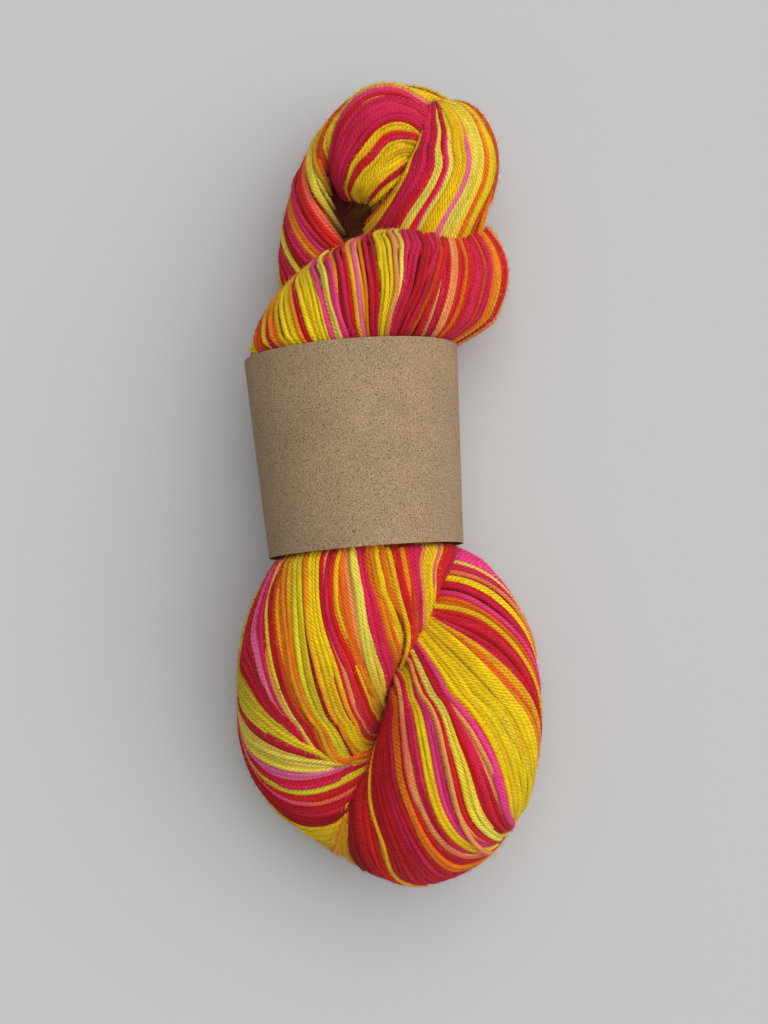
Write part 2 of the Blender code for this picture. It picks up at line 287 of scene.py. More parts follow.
# The right end of the upper bulge, and the strands that fold over at the crease below the band.
SIDE_GUIDES = (
    ((414, 338, 45), (421, 322, 49), (428, 303, 51.5), (432, 285, 51.5), (434, 268, 49.5),
     (434, 252, 47), (432, 238, 42), (430, 226, 36)),
    ((424, 340, 45), (433, 322, 49), (441, 303, 51), (447, 285, 51), (450, 268, 49), (450, 252, 46),
     (446, 238, 41), (441, 226, 35)),
    ((431, 342, 44), (442, 318, 49), (452, 293, 50), (458, 268, 48), (458, 250, 44), (451, 235, 38),
     (444, 224, 33)),
    ((452, 345, 40), (465, 323, 43), (474, 300, 44), (478, 275, 43), (474, 255, 40), (465, 240, 37),
     (455, 229, 33)),
    ((465, 343, 37), (478, 320, 39), (488, 297, 39), (492, 272, 37), (488, 250, 34), (480, 235, 31),
     (470, 225, 28)),
    ((472, 344, 34), (487, 320, 35), (497, 296, 34), (501, 272, 31), (497, 253, 29), (489, 238, 27),
     (480, 226, 24)),
    ((477, 346, 29), (490, 325, 30), (500, 303, 29), (506, 280, 27), (504, 258, 26), (496, 240, 24),
     (487, 228, 22)),
    ((477, 346, 22), (490, 326, 21), (499, 304, 19), (505, 281, 17), (503, 258, 17), (495, 240, 17),
     (487, 228, 17)),
)
FOLD_GUIDES = (
    ((386, 547, 60), (390, 563, 59), (394, 583, 58), (399, 602, 56), (404, 618, 53), (407, 633, 50),
     (407, 646, 48), (404, 658, 46), (398, 672, 42), (390, 688, 35)),
    ((395, 548, 59), (405, 563, 57), (414, 577, 55), (419, 592, 53), (422, 607, 50), (421, 623, 48),
     (417, 640, 47), (410, 655, 45), (402, 669, 41), (391, 688, 34)),
    ((412, 546, 57), (420, 563, 54), (427, 580, 51), (430, 597, 49), (429, 610, 48), (426, 622, 47),
     (421, 637, 45), (414, 652, 42), (405, 668, 35)),
    ((428, 545, 54), (434, 563, 50), (438, 578, 47), (437, 592, 47), (433, 607, 46), (429, 620, 45),
     (423, 636, 41), (412, 655, 34)),
    ((453, 543, 42), (450, 557, 43), (445, 570, 43), (441, 582, 43), (437, 593, 44), (432, 607, 44),
     (427, 620, 42), (421, 637, 39), (410, 656, 33)),
    ((456, 545, 36), (453, 560, 38), (448, 573, 39), (443, 585, 40), (438, 597, 41), (432, 610, 41),
     (426, 623, 39), (419, 639, 36), (408, 658, 31)),
)

# Which dye shows where: a place, then the dye that starts there. Places on the winding are
# along its path (mm), where a turn crosses its front, and on the knob they count its guides.
WINDING_CHART = (
    "-30 red -26 orange -23 pink -19 red -14 peach -12 yellow -9 red -4 orange 0 peach 2 red 7 magenta "
    "11 orange 14 peach 16 red 20 pink 23 yellow 25 red 28 orange 30.5 red 32 peach 33.5 pink 35 red "
    "37 magenta 40 pink 42.5 red 45 peach 46.3 magenta 47.6 red 49.9 rust 51.8 magenta 52.8 crimson "
    "54.3 magenta 55.9 pale 56.5 peach 57.2 yellow 59.9 crimson 61.5 gold 63.5 rose 64.3 gold 65.2 red "
    "67 magenta 68.9 dark 69.6 gold 70.4 pink 72.6 pale 74.1 pink 76.3 yellow 80.9 crimson 83.3 orange "
    "84.5 yellow 90.4 orange 93 yellow 93.8 orange 94.6 crimson 96.4 yellow 98.2 orange 100 rust "
    "103 yellow 108",
    "172 peach 174 yellow 176 crimson 178.6 pink 180.6 red 181.7 orange 183.8 yellow 186 red "
    "187 magenta 189 crimson 190.6 magenta 193 crimson 195 gold 197.2 orange 199 yellow 210.8 lime "
    "213 yellow 217.6 pink 219.6 peach 221.2 crimson 223.3 pale 224.8 red 226 peach 226.7 pink "
    "228.2 yellow 229.1 magenta 230.6 peach 231.4 red 232.4 orange 233.8 crimson 242 gold 243.4 red "
    "247 dark 252 gold 256 yellow 262",
    "262 dark 266 magenta 270 crimson 272 salmon 274.5 red 278 lime 280.5 magenta 283 rose 286 pale "
    "291.6 crimson 294.2 lime 300 crimson 303 rose 304.6 magenta 306.2 peach 307.6 pale 309 crimson "
    "311 rust 313 orange 316 gold 319 lime 324.3 dark 326 gold 328 yellow 330.3 rust 331 yellow "
    "333 red 334.2 peach 336.4 magenta 338.3 red 340.4 yellow 342.4 orange 344.8 peach 346.4 pale "
    "349.4 magenta 351.8 orange 355 yellow 357.5 orange 358.6 yellow 361 rust 363 pink 365.4 yellow "
    "368.6 orange 370 yellow 372.5 red 375.5 crimson 380",
    "425 orange 428 yellow 431 rust 433 yellow 436 red 440 magenta 445 pale 447.5 dark 450.5 magenta "
    "454 orange 455.6 pink 458.4 crimson 461 red 463 salmon 464.5 dark 466 pale 469.4 lime 471 orange "
    "473 rust 475 yellow 479 orange 481 pale 484 yellow 488 orange 490 yellow 497 orange 499 yellow 528",
)
CURL_CHART = (
    "0 yellow 0.4 orange 0.7 yellow 1.4 peach 1.65 pink 2.05 crimson 2.25 peach 2.4 magenta 3.3 pink "
    "3.5 magenta 4 crimson 4.3 pink 4.6 yellow 5.1 red 5.6 crimson 5.95 yellow 7.5 crimson 7.7 yellow "
    "7.9 magenta 9"
)
TUCK_CHART = (
    "0 rust 0.2 orange 0.35 rust 0.5 gold 0.7 rust 0.85 yellow 1.2 magenta 2.6 crimson 3.2 pale "
    "3.6 red 3.8 pink 4.03 pale 4.3 yellow 4.97 rose 5.25 pale 6.08 orange 6.6 yellow 7.3 rust "
    "7.7 orange 8.2 yellow 8.6 pink 10"
)
SIDE_CHART = (
    "0 magenta 0.3 peach 0.45 crimson 1.35 peach 2.0 red 2.35 orange 2.55 red 2.8 magenta 3.05 crimson "
    "3.35 rust 3.45 magenta 4.05 orange 4.45 gold 4.95 red 6 peach 6.4 orange 6.8 yellow 8"
)
FOLD_CHART = (
    "0 yellow 0.2 red 0.35 orange 0.55 rust 0.72 magenta 1.2 peach 1.4 yellow 2.5 rose 2.65 yellow "
    "2.8 orange 3.0 red 3.5 crimson 6"
)
ELSEWHERE = ("yellow", "yellow", "pale", "lime", "orange", "rust", "peach", "pink", "magenta", "magenta",
             "red", "red", "crimson", "gold")


# ---- paths -------------------------------------------------------------------------------------

PATH_STEP = 0.5             # between the points of a smooth path, before its rings are marked on it

# For every ring of a bundle: its place along the path, its middle, its radius, the angle of its turns
# to the path, two ways square to the path, how far its turns have gone round, and the angle that
# faces the camera.
Run = namedtuple("Run", "place middle radius lay side across turn front")


def unit(vectors):
    return vectors / np.linalg.norm(vectors, axis=-1, keepdims=True)


def ramp(values):
    """0 to 1 with soft ends."""
    values = np.clip(values, 0.0, 1.0)
    return values * values * (3.0 - 2.0 * values)


def read(places, values, where):
    """A table's values at other places."""
    if values.ndim == 1:
        return np.interp(where, places, values)
    return np.stack([np.interp(where, places, column) for column in values.T], -1)


def between(values):
    return 0.5 * (values[1:] + values[:-1])


def running_sum(steps):
    return np.concatenate(([0.0], np.cumsum(steps)))


def lengths_along(points):
    return running_sum(np.linalg.norm(np.diff(points, axis=0), axis=1))


def smooth_curve(rows):
    """Points of a smooth curve through the rows, which doesn't overshoot where they lie close."""
    rows = np.array(rows, float)
    padded = np.vstack([2 * rows[0] - rows[1], rows, 2 * rows[-1] - rows[-2]])
    points = []
    for before, start, end, after in zip(padded, padded[1:], padded[2:], padded[3:]):
        t1 = math.sqrt(np.linalg.norm((start - before)[:3]))
        t2 = t1 + math.sqrt(np.linalg.norm((end - start)[:3]))
        t3 = t2 + math.sqrt(np.linalg.norm((after - end)[:3]))
        for t in np.linspace(t1, t2, CURVE_SAMPLES, endpoint=False):
            a = before + (start - before) * t / t1
            b = start + (end - start) * (t - t1) / (t2 - t1)
            c = end + (after - end) * (t - t2) / (t3 - t2)
            ab = a + (b - a) * t / t2
            bc = b + (c - b) * (t - t1) / (t3 - t1)
            points.append(ab + (bc - ab) * (t - t1) / (t2 - t1))
    points.append(rows[-1])
    return np.array(points)


def carried_sides(middle, along):
    """A side direction carried along the path without turning about it."""
    side = np.zeros_like(middle)
    up = np.array((0.0, 0.0, 1.0))
    side[0] = unit(up - along[0] * (up @ along[0]))
    for i in range(1, len(middle)):
        step = middle[i] - middle[i - 1]
        scale = 2.0 / (step @ step)
        moved = side[i - 1] - scale * (step @ side[i - 1]) * step
        turned = along[i - 1] - scale * (step @ along[i - 1]) * step
        bend = along[i] - turned
        square = bend @ bend
        if square > 1e-12:
            moved = moved - (2.0 / square) * (bend @ moved) * bend
        side[i] = unit(moved - along[i] * (moved @ along[i]))
    return side


def camera_axes():
    """To the right, up and back from the camera, which looks almost straight down."""
    right = np.array((1.0, 0.0, 0.0))
    back = np.array((0.0, -math.sin(CAMERA_TILT), math.cos(CAMERA_TILT)))
    return right, np.cross(back, right), back


def eye_point():
    return np.array(LOOK_AT) + CAMERA_DISTANCE * camera_axes()[2]


def from_picture(x, y, height):
    """The point at a height (mm) that is seen at a place in the picture."""
    right, up, back = camera_axes()
    focal = CAMERA_LENS / CAMERA_SENSOR * PICTURE_HEIGHT
    ray = right * (x - 0.5 * PICTURE_WIDTH) / focal - up * (y - 0.5 * PICTURE_HEIGHT) / focal - back
    eye = eye_point()
    return eye + ray * (height - eye[2]) / ray[2]


def make_run(rows):
    """A bundle's path, with its rings where one more TURN_STEP of yarn has been laid."""
    curve = smooth_curve(rows)
    lengths = lengths_along(curve[:, :3])
    even = np.linspace(0.0, lengths[-1], int(lengths[-1] / PATH_STEP) + 1)
    curve = read(lengths, curve, even)
    middle, radius, lay = curve[:, :3], curve[:, 3], np.radians(curve[:, 4])
    along = unit(np.gradient(middle, axis=0))
    side = carried_sides(middle, along)
    across = np.cross(along, side)
    turn = running_sum(between(HAND * np.tan(lay) / radius) * np.diff(even))
    to_eye = eye_point() - middle
    front = np.unwrap(np.arctan2((to_eye * across).sum(1), (to_eye * side).sum(1)))
    yarn = running_sum(np.diff(even) / np.cos(between(lay)))
    marks = np.interp(np.linspace(0.0, yarn[-1], int(yarn[-1] / TURN_STEP) + 1), yarn, even)
    middle, radius, lay, turn, front, side, along = (
        read(even, values, marks) for values in (middle, radius, lay, turn, front, side, along))
    side, along = unit(side), unit(along)
    side = unit(side - along * (side * along).sum(1)[:, None])
    return Run(marks, middle, radius, lay, side, np.cross(along, side), turn, front)


def on_helix(run, crossing, gone):
    """Where an even turn that crosses the front at a place is when it has gone round by an angle: its
    place along the bundle and its angle."""
    turned = read(run.place, run.turn, crossing) + gone
    return np.interp(-turned, -run.turn, run.place), read(run.place, run.front, crossing) + gone


def on_bundle(run, place, angle):
    """The direction out of the bundle there, and the middle and radius of the bundle."""
    outward = (np.cos(angle)[..., None] * read(run.place, run.side, place)
               + np.sin(angle)[..., None] * read(run.place, run.across, place))
    return unit(outward), read(run.place, run.middle, place), read(run.place, run.radius, place)


def find_crossings(run, angle):
    """For every ring of every turn: the place where the turn crosses the front of the bundle nearest
    to it, how far round from there it has gone, and the crossing after that one."""
    crossing, gone, after = np.zeros_like(angle), np.zeros_like(angle), np.zeros_like(angle)
    places = np.concatenate(([run.place[0] - 2.0 * PITCH], run.place, [run.place[-1] + 2.0 * PITCH]))
    for i, row in enumerate(angle):
        passed = np.maximum.accumulate((run.front - row) / TAU)
        whole = np.round(passed)
        passed_on = np.concatenate(([passed[0] - 2.0], passed, [passed[-1] + 2.0]))
        crossing[i] = np.interp(whole, passed_on, places)
        after[i] = np.interp(whole + np.where(passed > whole, 1.0, -1.0), passed_on, places)
        gone[i] = row - read(run.place, run.front, crossing[i]) + TAU * whole
    return crossing, gone, after


# ---- how the turns really flow -----------------------------------------------------------------

SPREAD_ANGLE = math.radians(-25)    # where the traces lie well apart
TRACE_FINENESS = 4          # points for each one of a trace, of which every TRACE_KEPT-th is used
TRACE_KEPT = 3
BACK_STEP = 14.0            # along the bundle, between the even places at its back
BACK_ANGLES = (-150, -178, 150, 178)
EVEN_ANGLES = (-100, -50, 0, 50, 100)       # at the even places in front
FLOW_PLACE_STEP = 3.0
FLOW_ANGLE_STEP = math.radians(7.5)
FLOW_ANGLE_COUNT = 24       # steps each way round
FLOW_SOFTNESS = 2.0         # how far the flow may miss the traces, to run smoothly
FLOW_ARM = 20.0             # mm to the radian, so that both ways along the surface count alike


def known_shifts(run):
    """Points where the flow is known. For each: where the even helix has it (crossing, angle gone
    round), and how far from there it really lies."""
    even, shift = [], []
    for trace in TRACES:
        rows = np.array(trace, float)
        fine = np.linspace(0, len(rows) - 1, TRACE_FINENESS * len(rows))
        place, gone = read(np.arange(len(rows)), rows, fine).T
        gone = np.radians(gone)
        where, angle = on_helix(run, place, gone)
        outward, middle, radius = on_bundle(run, where, angle)
        steps = np.linalg.norm(np.diff(middle + radius[:, None] * outward, axis=0), axis=1)
        rate = np.sin(read(run.place, run.lay, where)) / radius
        travelled = running_sum(steps * between(rate))
        start = int(np.argmin(np.abs(gone - SPREAD_ANGLE)))
        even_gone = gone[start] + travelled - travelled[start]
        for k in range(0, len(fine), TRACE_KEPT):
            even.append((place[start], even_gone[k]))
            shift.append((place[k] - place[start], gone[k] - even_gone[k]))
    back_places = np.arange(0.0, run.place[-1] + 10.0, BACK_STEP)
    for places, angles in ((back_places, BACK_ANGLES), (EVEN_PLACES, EVEN_ANGLES)):
        for place in places:
            for gone in angles:
                even.append((place, math.radians(gone)))
                shift.append((0.0, 0.0))
    return np.array(even), np.array(shift)


def thin_plate(known, values, wanted, softness):
    """The smoothest sheet through the known values, read at the wanted points."""
    def kernel(points):
        square = ((points[:, None] - known[None]) ** 2).sum(-1)
        return 0.5 * square * np.log(square + 1e-12)

    def plane(points):
        return np.hstack([np.ones((len(points), 1)), points])

    count = len(known)
    system = np.zeros((count + 3, count + 3))
    system[:count, :count] = kernel(known) + softness * np.eye(count)
    system[:count, count:] = plane(known)
    system[count:, :count] = plane(known).T
    weights = np.linalg.solve(system, np.vstack([values, np.zeros((3, values.shape[1]))]))
    return kernel(wanted) @ weights[:count] + plane(wanted) @ weights[count:]


def make_flow(run):
    """How far the turns lie from the even helix, as a grid over crossing and angle gone round."""
    even, shift = known_shifts(run)
    places = np.arange(0.0, run.place[-1] + FLOW_PLACE_STEP, FLOW_PLACE_STEP)
    gones = np.arange(-FLOW_ANGLE_COUNT, FLOW_ANGLE_COUNT + 1) * FLOW_ANGLE_STEP
    grid = np.stack(np.meshgrid(places, gones * FLOW_ARM, indexing="ij"), -1).reshape(-1, 2)
    values = thin_plate(even * (1.0, FLOW_ARM), shift, grid, FLOW_SOFTNESS)
    return places, gones, values.reshape(len(places), len(gones), 2)


def real_course(run, flow, crossing, gone):
    """Where the flow takes a turn that crosses the front at a place, when an even turn would have
    gone round by an angle: its place along the bundle and its angle."""
    places, gones, values = flow
    x = np.clip(crossing / FLOW_PLACE_STEP, 0, len(places) - 1.001)
    y = np.clip((gone - gones[0]) / FLOW_ANGLE_STEP, 0, len(gones) - 1.001)
    i, j = x.astype(int), y.astype(int)
    fx, fy = (x - i)[..., None], (y - j)[..., None]
    low = values[i, j] * (1 - fy) + values[i, j + 1] * fy
    high = values[i + 1, j] * (1 - fy) + values[i + 1, j + 1] * fy
    shift = low * (1 - fx) + high * fx
    return on_helix(run, crossing + shift[..., 0], gone + shift[..., 1])


# ---- laying the turns --------------------------------------------------------------------------

# How unevenly the turns lie. A pair is how much (in widths of a turn, if not said otherwise), and
# the stretch of yarn (mm) over which it changes.
THICKNESS = (0.86, 1.14)    # from the thinnest turn to the thickest
THICKNESS_DRIFT = (0.05, 9.0)
GROUP_WAVES = (9, 13, 17, 23)   # half waves of bunching round the bundle
GROUP_DRIFT = (2.4, 55.0)   # radians
WANDER_REACH = 34.0
PROUD_WANDER = 1.3
QUIVER = (0.08, 11.0)
LIFT = (0.12, 16.0)
PROUD_LIFT = 0.36
CROWDED_LIFT = 0.22         # every other turn, where they are squeezed together
CROWDED_FROM = 0.8125       # of the spacing on the even helix
CROWDED_SPAN = 0.625
HIDDEN_YIELD = 0.6          # share of its room that a turn gives up when it goes under
LAYER_EDGE = 0.08           # how softly turns go under, in ranks
SQUEEZE = (0.3, 2.8)        # how far apart turns lie, against the even helix
SQUEEZE_RINGS = 9           # over which that is averaged, each way
FULL_TURNS = 48             # on top: where there is room for fewer, they are drawn thinner
THINNEST = 0.30
DEEPEST = 0.25              # of the bundle's radius

# The same for the sheets laid along their guides.
SHEET_STOCK = 1.1           # how many more turns than its widest place needs
SHEET_YIELD = 0.9
SHEET_BUNCHING = (0.25, 40.0)
SHEET_WANDER = (0.20, 20.0)
SHEET_LIFT = (0.10, 14.0)
SHEET_NARROW = (2.2, 0.45)  # how soon turns are drawn thinner, and the thinnest
GUIDE_STEP = 0.05           # guides, to either side, to find the way across a sheet
SHEET_BELOW = (0.0, 0.0, 10.0)      # its turns face away from a point so far under its middle

# More turns under those that fan out, so that yarn shows wherever they part.
UNDER_CROSSINGS = ((214.0, 246.0), (280.0, 357.0))      # where the two fans cross the front
UNDER_STEP = 0.62           # along the front, from one to the next
UNDER_ANGLES = (math.radians(-80), math.radians(75))
UNDER_RINGS = 46
UNDER_DEPTH = 0.45          # below the turns on top, in their widths
UNDER_RADIUS = 0.48

# For every ring of every turn: its middle, the way out of the bundle, its own radius, its angle round
# the bundle, its place along it, where the turn crosses the front, how far round from there it has
# gone, the crossing after that, and how many layers of turns lie over it.
Turns = namedtuple("Turns", "points outward radius angle place crossing gone after layers")


def drift(rng, count, places, reach):
    """Smooth noise in -1..1 for each of count turns, changing over about reach."""
    knots = int(places[-1] / reach) + 3
    values = rng.uniform(-1.0, 1.0, (count, knots))
    at = (places / reach)[None, :] + rng.uniform(0.0, 1.0, (count, 1))
    low = np.minimum(at.astype(int), knots - 2)
    share = ramp(at - low)
    rows = np.arange(count)[:, None]
    return values[rows, low] * (1.0 - share) + values[rows, low + 1] * share


def uneven(rng, count, places, amount):
    """Drift by a pair: how much, and over what reach."""
    return amount[0] * drift(rng, count, places, amount[1])


def spread_rank(index):
    """0..1, so that the lowest ranks are always spread evenly round the bundle."""
    rank, half = 0.0, 0.5
    while index:
        rank += half * (index & 1)
        index >>= 1
        half *= 0.5
    return rank


def ranks(count):
    return np.array([spread_rank(i) for i in range(count)])[:, None]


def sink(rank, room):
    """How far each turn is pushed under the others, 0..1 for each layer."""
    return [ramp((rank - k * room) / LAYER_EDGE + 0.5) for k in (1, 2, 3, 4)]


def spacing(points):
    """The distance to the next turn, square to the turns."""
    forward = unit(np.gradient(points, axis=1))
    gap = np.roll(points, -1, axis=0) - points
    gap -= forward * (gap * forward).sum(-1, keepdims=True)
    return np.linalg.norm(gap, axis=-1)


def smooth_along(values, reach):
    """Values averaged over a stretch of each turn."""
    ends = ((0, 0), (reach + 1, reach)) + ((0, 0),) * (values.ndim - 2)
    total = np.cumsum(np.pad(values, ends, mode="edge"), axis=1)
    return (total[:, 2 * reach + 1:] - total[:, :-2 * reach - 1]) / (2 * reach + 1)


def place_round(run, room, thick, rank, rng):
    """The turns' angles round the bundle at every ring, if the helix were even, and which of them lie
    loose over the others."""
    count, places = len(thick), run.place
    groups = np.zeros((count, len(places)))
    for waves in GROUP_WAVES:
        phase = TAU * waves * np.arange(count)[:, None] / count * 0.5
        groups += np.sin(phase + uneven(rng, 1, places, GROUP_DRIFT) + rng.uniform(0, TAU))
    hidden = sink(rank, room[None, :])
    share = thick * (1.0 - HIDDEN_YIELD * hidden[0]) * (1.0 + 0.5 * GROUPING * groups)
    ends = np.cumsum(share, axis=0)
    angle = TAU * (ends - 0.5 * share) / ends[-1]
    angle -= angle.mean(axis=0) - math.pi
    width = TURN_WIDTH / (run.radius * np.cos(run.lay))
    proud = rng.permutation(count) < PROUD_SHARE * count
    wander = np.where(proud, PROUD_WANDER, WANDER)[:, None]
    angle += wander * width * drift(rng, count, places, WANDER_REACH)
    angle += width * uneven(rng, count, places, QUIVER)
    return angle + run.turn, proud


def lay_turns(run, count, rng, flow):
    """The middles of the turns on a bundle: as many on top as there is room for, the others under
    them, rising where the bundle is fat and sinking where it is gathered."""
    places = run.place
    room = CROWD * TAU * run.radius * np.cos(run.lay) / (TURN_WIDTH * count)
    rank = ranks(count)
    thick = TURN_WIDTH * rng.uniform(*THICKNESS, (count, 1))
    angle, proud = place_round(run, room, thick, rank, rng)
    crossing, gone, after = find_crossings(run, angle)
    even_place, even_angle = on_helix(run, crossing, gone)
    real_place, real_angle = real_course(run, flow, crossing, gone)
    outward, middle, radius = on_bundle(run, np.broadcast_to(places, angle.shape), angle)
    even_gap = spacing(middle + radius[..., None] * outward)
    place = np.clip(places + real_place - even_place, 0.0, places[-1])
    angle = angle + real_angle - even_angle
    outward, middle, radius = on_bundle(run, place, angle)
    squeeze = spacing(middle + radius[..., None] * outward) / even_gap
    squeeze = 0.5 * (squeeze + np.roll(squeeze, 1, axis=0))
    squeeze = smooth_along(np.clip(squeeze, *SQUEEZE), SQUEEZE_RINGS)

    room = read(places, room, place)
    hidden = sink(rank, room * squeeze)
    every_other = np.where(np.arange(count) % 2, 1.0, -1.0)[:, None]
    lift = TURN_WIDTH * uneven(rng, count, places, LIFT)
    lift += CROWDED_LIFT * TURN_WIDTH * ramp((CROWDED_FROM - squeeze) / CROWDED_SPAN) * every_other
    lift += np.where(proud, PROUD_LIFT * TURN_WIDTH, 0.0)[:, None] * (1.0 - hidden[0])
    depth = SINK_DEPTH * TURN_WIDTH * sum(hidden)
    out = np.maximum(radius - 0.5 * TURN_WIDTH - depth + lift, DEEPEST * radius)
    narrow = np.sqrt(np.clip(room * count / FULL_TURNS, THINNEST, 1.0))
    thickness = 0.5 * thick * narrow * (1.0 + uneven(rng, count, places, THICKNESS_DRIFT))
    return Turns(middle + out[..., None] * outward, outward, thickness, angle, place, crossing, gone,
                 after, sum(hidden))


def lay_under(run, flow):
    """Even turns a little below the others, where those fan out in front."""
    crossings = np.concatenate([np.arange(start, end, UNDER_STEP) for start, end in UNDER_CROSSINGS])
    gones = np.linspace(*UNDER_ANGLES, UNDER_RINGS)
    crossing, gone = np.meshgrid(crossings, gones, indexing="ij")
    place, angle = real_course(run, flow, crossing, gone)
    outward, middle, radius = on_bundle(run, place, angle)
    out = radius - (0.5 + UNDER_DEPTH) * TURN_WIDTH
    zero = np.zeros_like(place)
    return Turns(middle + out[..., None] * outward, outward, zero + UNDER_RADIUS * TURN_WIDTH, angle,
                 place, crossing, gone, crossing, zero)


def between_guides(sheet, guide):
    """Points of a smooth sheet through its guides, for places counted in guides on every ring."""
    low = np.clip(guide.astype(int), 0, len(sheet) - 2)
    share = (guide - low)[..., None]
    rings = np.arange(sheet.shape[1])[None, :]
    padded = np.concatenate([2 * sheet[:1] - sheet[1:2], sheet, 2 * sheet[-1:] - sheet[-2:-1]])
    a, b, c, d = (padded[low + k, rings] for k in range(4))
    return 0.5 * (2 * b + (c - a) * share + (2 * a - 5 * b + 4 * c - d) * share ** 2
                  + (3 * b - a - 3 * c + d) * share ** 3)


def soften(points):
    """Points evened out along each turn and from turn to turn, with the turns' ends kept."""
    for _ in range(SOFTENING):
        points[:, 1:-1] = 0.25 * points[:, :-2] + 0.5 * points[:, 1:-1] + 0.25 * points[:, 2:]
        points[1:-1] = 0.25 * points[:-2] + 0.5 * points[1:-1] + 0.25 * points[2:]
    return points


def read_guides(guides):
    """A sheet's guides with the same number of rings on each, the places of the rings, and how far
    each guide lies from the first, square to the turns."""
    curves = [smooth_curve([from_picture(*point) for point in guide]) for guide in guides]
    lengths = [lengths_along(curve) for curve in curves]
    longest = max(length[-1] for length in lengths)
    rings = int(longest / TURN_STEP) + 1
    sheet = np.stack([read(length, curve, np.linspace(0.0, length[-1], rings))
                      for curve, length in zip(curves, lengths)])
    forward = unit(np.gradient(sheet, axis=1))
    step = np.diff(sheet, axis=0)
    step -= forward[:-1] * (step * forward[:-1]).sum(-1, keepdims=True)
    width = np.vstack([np.zeros(rings), np.cumsum(np.linalg.norm(step, axis=-1), axis=0)])
    return sheet, np.linspace(0.0, longest, rings), width


def lay_sheet(guides, rng):
    """Turns side by side over a sheet, as many on top as there is room for."""
    sheet, places, width = read_guides(guides)
    rings, last = len(places), len(sheet) - 1.0
    count = int(CROWD * width[-1].max() / TURN_WIDTH * SHEET_STOCK)
    room = CROWD * width[-1] / (TURN_WIDTH * count)
    hidden = sink(ranks(count), room[None, :])
    thick = TURN_WIDTH * rng.uniform(*THICKNESS, (count, 1))
    bunching = 1.0 + uneven(rng, count, places, SHEET_BUNCHING)
    share = thick * (1.0 - SHEET_YIELD * hidden[0]) * bunching
    ends = np.cumsum(share, axis=0)
    over = (ends - 0.5 * share) / ends[-1] + uneven(rng, count, places, SHEET_WANDER) / count
    over = np.clip(over, 0.0, 1.0)
    guide = np.stack([np.interp(over[:, j] * width[-1, j], width[:, j], np.arange(len(sheet)))
                      for j in range(rings)], 1)
    points = soften(between_guides(sheet, guide))
    across = (between_guides(sheet, np.minimum(guide + GUIDE_STEP, last))
              - between_guides(sheet, np.maximum(guide - GUIDE_STEP, 0.0)))
    outward = unit(np.cross(across, np.gradient(points, axis=1)))
    centre = sheet.mean(axis=(0, 1)) - SHEET_BELOW
    outward *= np.where((outward * (points - centre)).sum(-1) < 0, -1.0, 1.0)[..., None]
    depth = TURN_WIDTH * (SINK_DEPTH * sum(hidden) - uneven(rng, count, places, SHEET_LIFT))
    narrow = np.sqrt(np.clip(SHEET_NARROW[0] * room, SHEET_NARROW[1], 1.0))
    radius = 0.5 * thick * narrow * (1.0 + uneven(rng, count, places, THICKNESS_DRIFT))
    middle = np.repeat(guide[:, rings // 2][:, None], rings, axis=1)
    zero = np.zeros_like(guide)
    return Turns(points - outward * depth[..., None], outward, radius, zero,
                 np.broadcast_to(places, guide.shape), middle, zero, middle, sum(hidden))


# ---- what the turns give way to ----------------------------------------------------------------

OUTSIDE = -1e9
PRESS_SINCE = -0.5          # how deep inside each other bundles are when they start to press
PRESS_RINGS = 2             # over which the push is evened out, each way
BAND_LIP = 0.4              # how far past the band's edges the waist stays as it is
HELD_FROM = 0.86            # of the band's oval: turns further out are drawn in
REST_HEIGHT = 0.97          # of its radius: the lowest that a turn's middle comes
REST_SOFTNESS = 0.35
UP = np.array((0.0, 0.0, 1.0))


def deepest(points, places, own, others):
    """How deep points lie inside the bundles that press on them, and the way out."""
    inside = np.full(len(points), OUTSIDE)
    away = np.zeros_like(points)
    for run, end in others:
        for k in range(0, int(np.searchsorted(run.place, end)), 2):
            offset = points - run.middle[k]
            distance = np.sqrt((offset * offset).sum(1))
            deep = run.radius[k] - distance
            if run is own:
                deep[np.abs(places - run.place[k]) < CONTACT_SKIP] = OUTSIDE
            better = deep > inside
            inside[better] = deep[better]
            away[better] = offset[better] / np.maximum(distance[better], 1e-6)[:, None]
    return inside, away


def press_apart(points, places, own, others):
    """Turns moved off the other bundles, half the way that the two overlap. Gives the new points and
    how deep each one lay inside a bundle."""
    inside, away = deepest(points.reshape(-1, 3), places.reshape(-1), own, others)
    push = away * np.clip(0.5 * (inside - PRESS_SINCE), 0.0, PRESS_LIMIT)[:, None]
    return points + smooth_along(push.reshape(points.shape), PRESS_RINGS), inside.reshape(places.shape)


def dip(points, outward, places, pit):
    """Points sunk towards the middle of their bundle where the hollow lies over it, and how far."""
    near = places > PIT_SINCE
    depth = np.zeros(int(near.sum()))
    for middle, radius in zip(pit.middle, pit.radius):
        square = ((points[near] - middle) ** 2).sum(-1) / radius ** 2
        depth = np.maximum(depth, PIT_DEPTH * radius * np.clip(1.0 - square, 0.0, 1.0) ** 1.5)
    moved = points.copy()
    moved[near] -= outward[near] * depth[:, None]
    return moved, np.linalg.norm(moved - points, axis=-1)


def band_frame():
    """The middles of the band's two edges, the ways along and across it, and its length."""
    foot, top = np.array(BAND_FOOT[:3]), np.array(BAND_TOP[:3])
    along = (top - foot) * (1.0, 1.0, 0.0)
    length = np.linalg.norm(along)
    along /= length
    return foot, top, along, np.array((along[1], -along[0], 0.0)), length


def band_oval(share, grow):
    """Half the band's width and half its height, a share of the way up from its foot."""
    return (BAND_FOOT.half_width + (BAND_TOP.half_width - BAND_FOOT.half_width) * share + grow,
            BAND_FOOT.half_height + (BAND_TOP.half_height - BAND_FOOT.half_height) * share + grow)


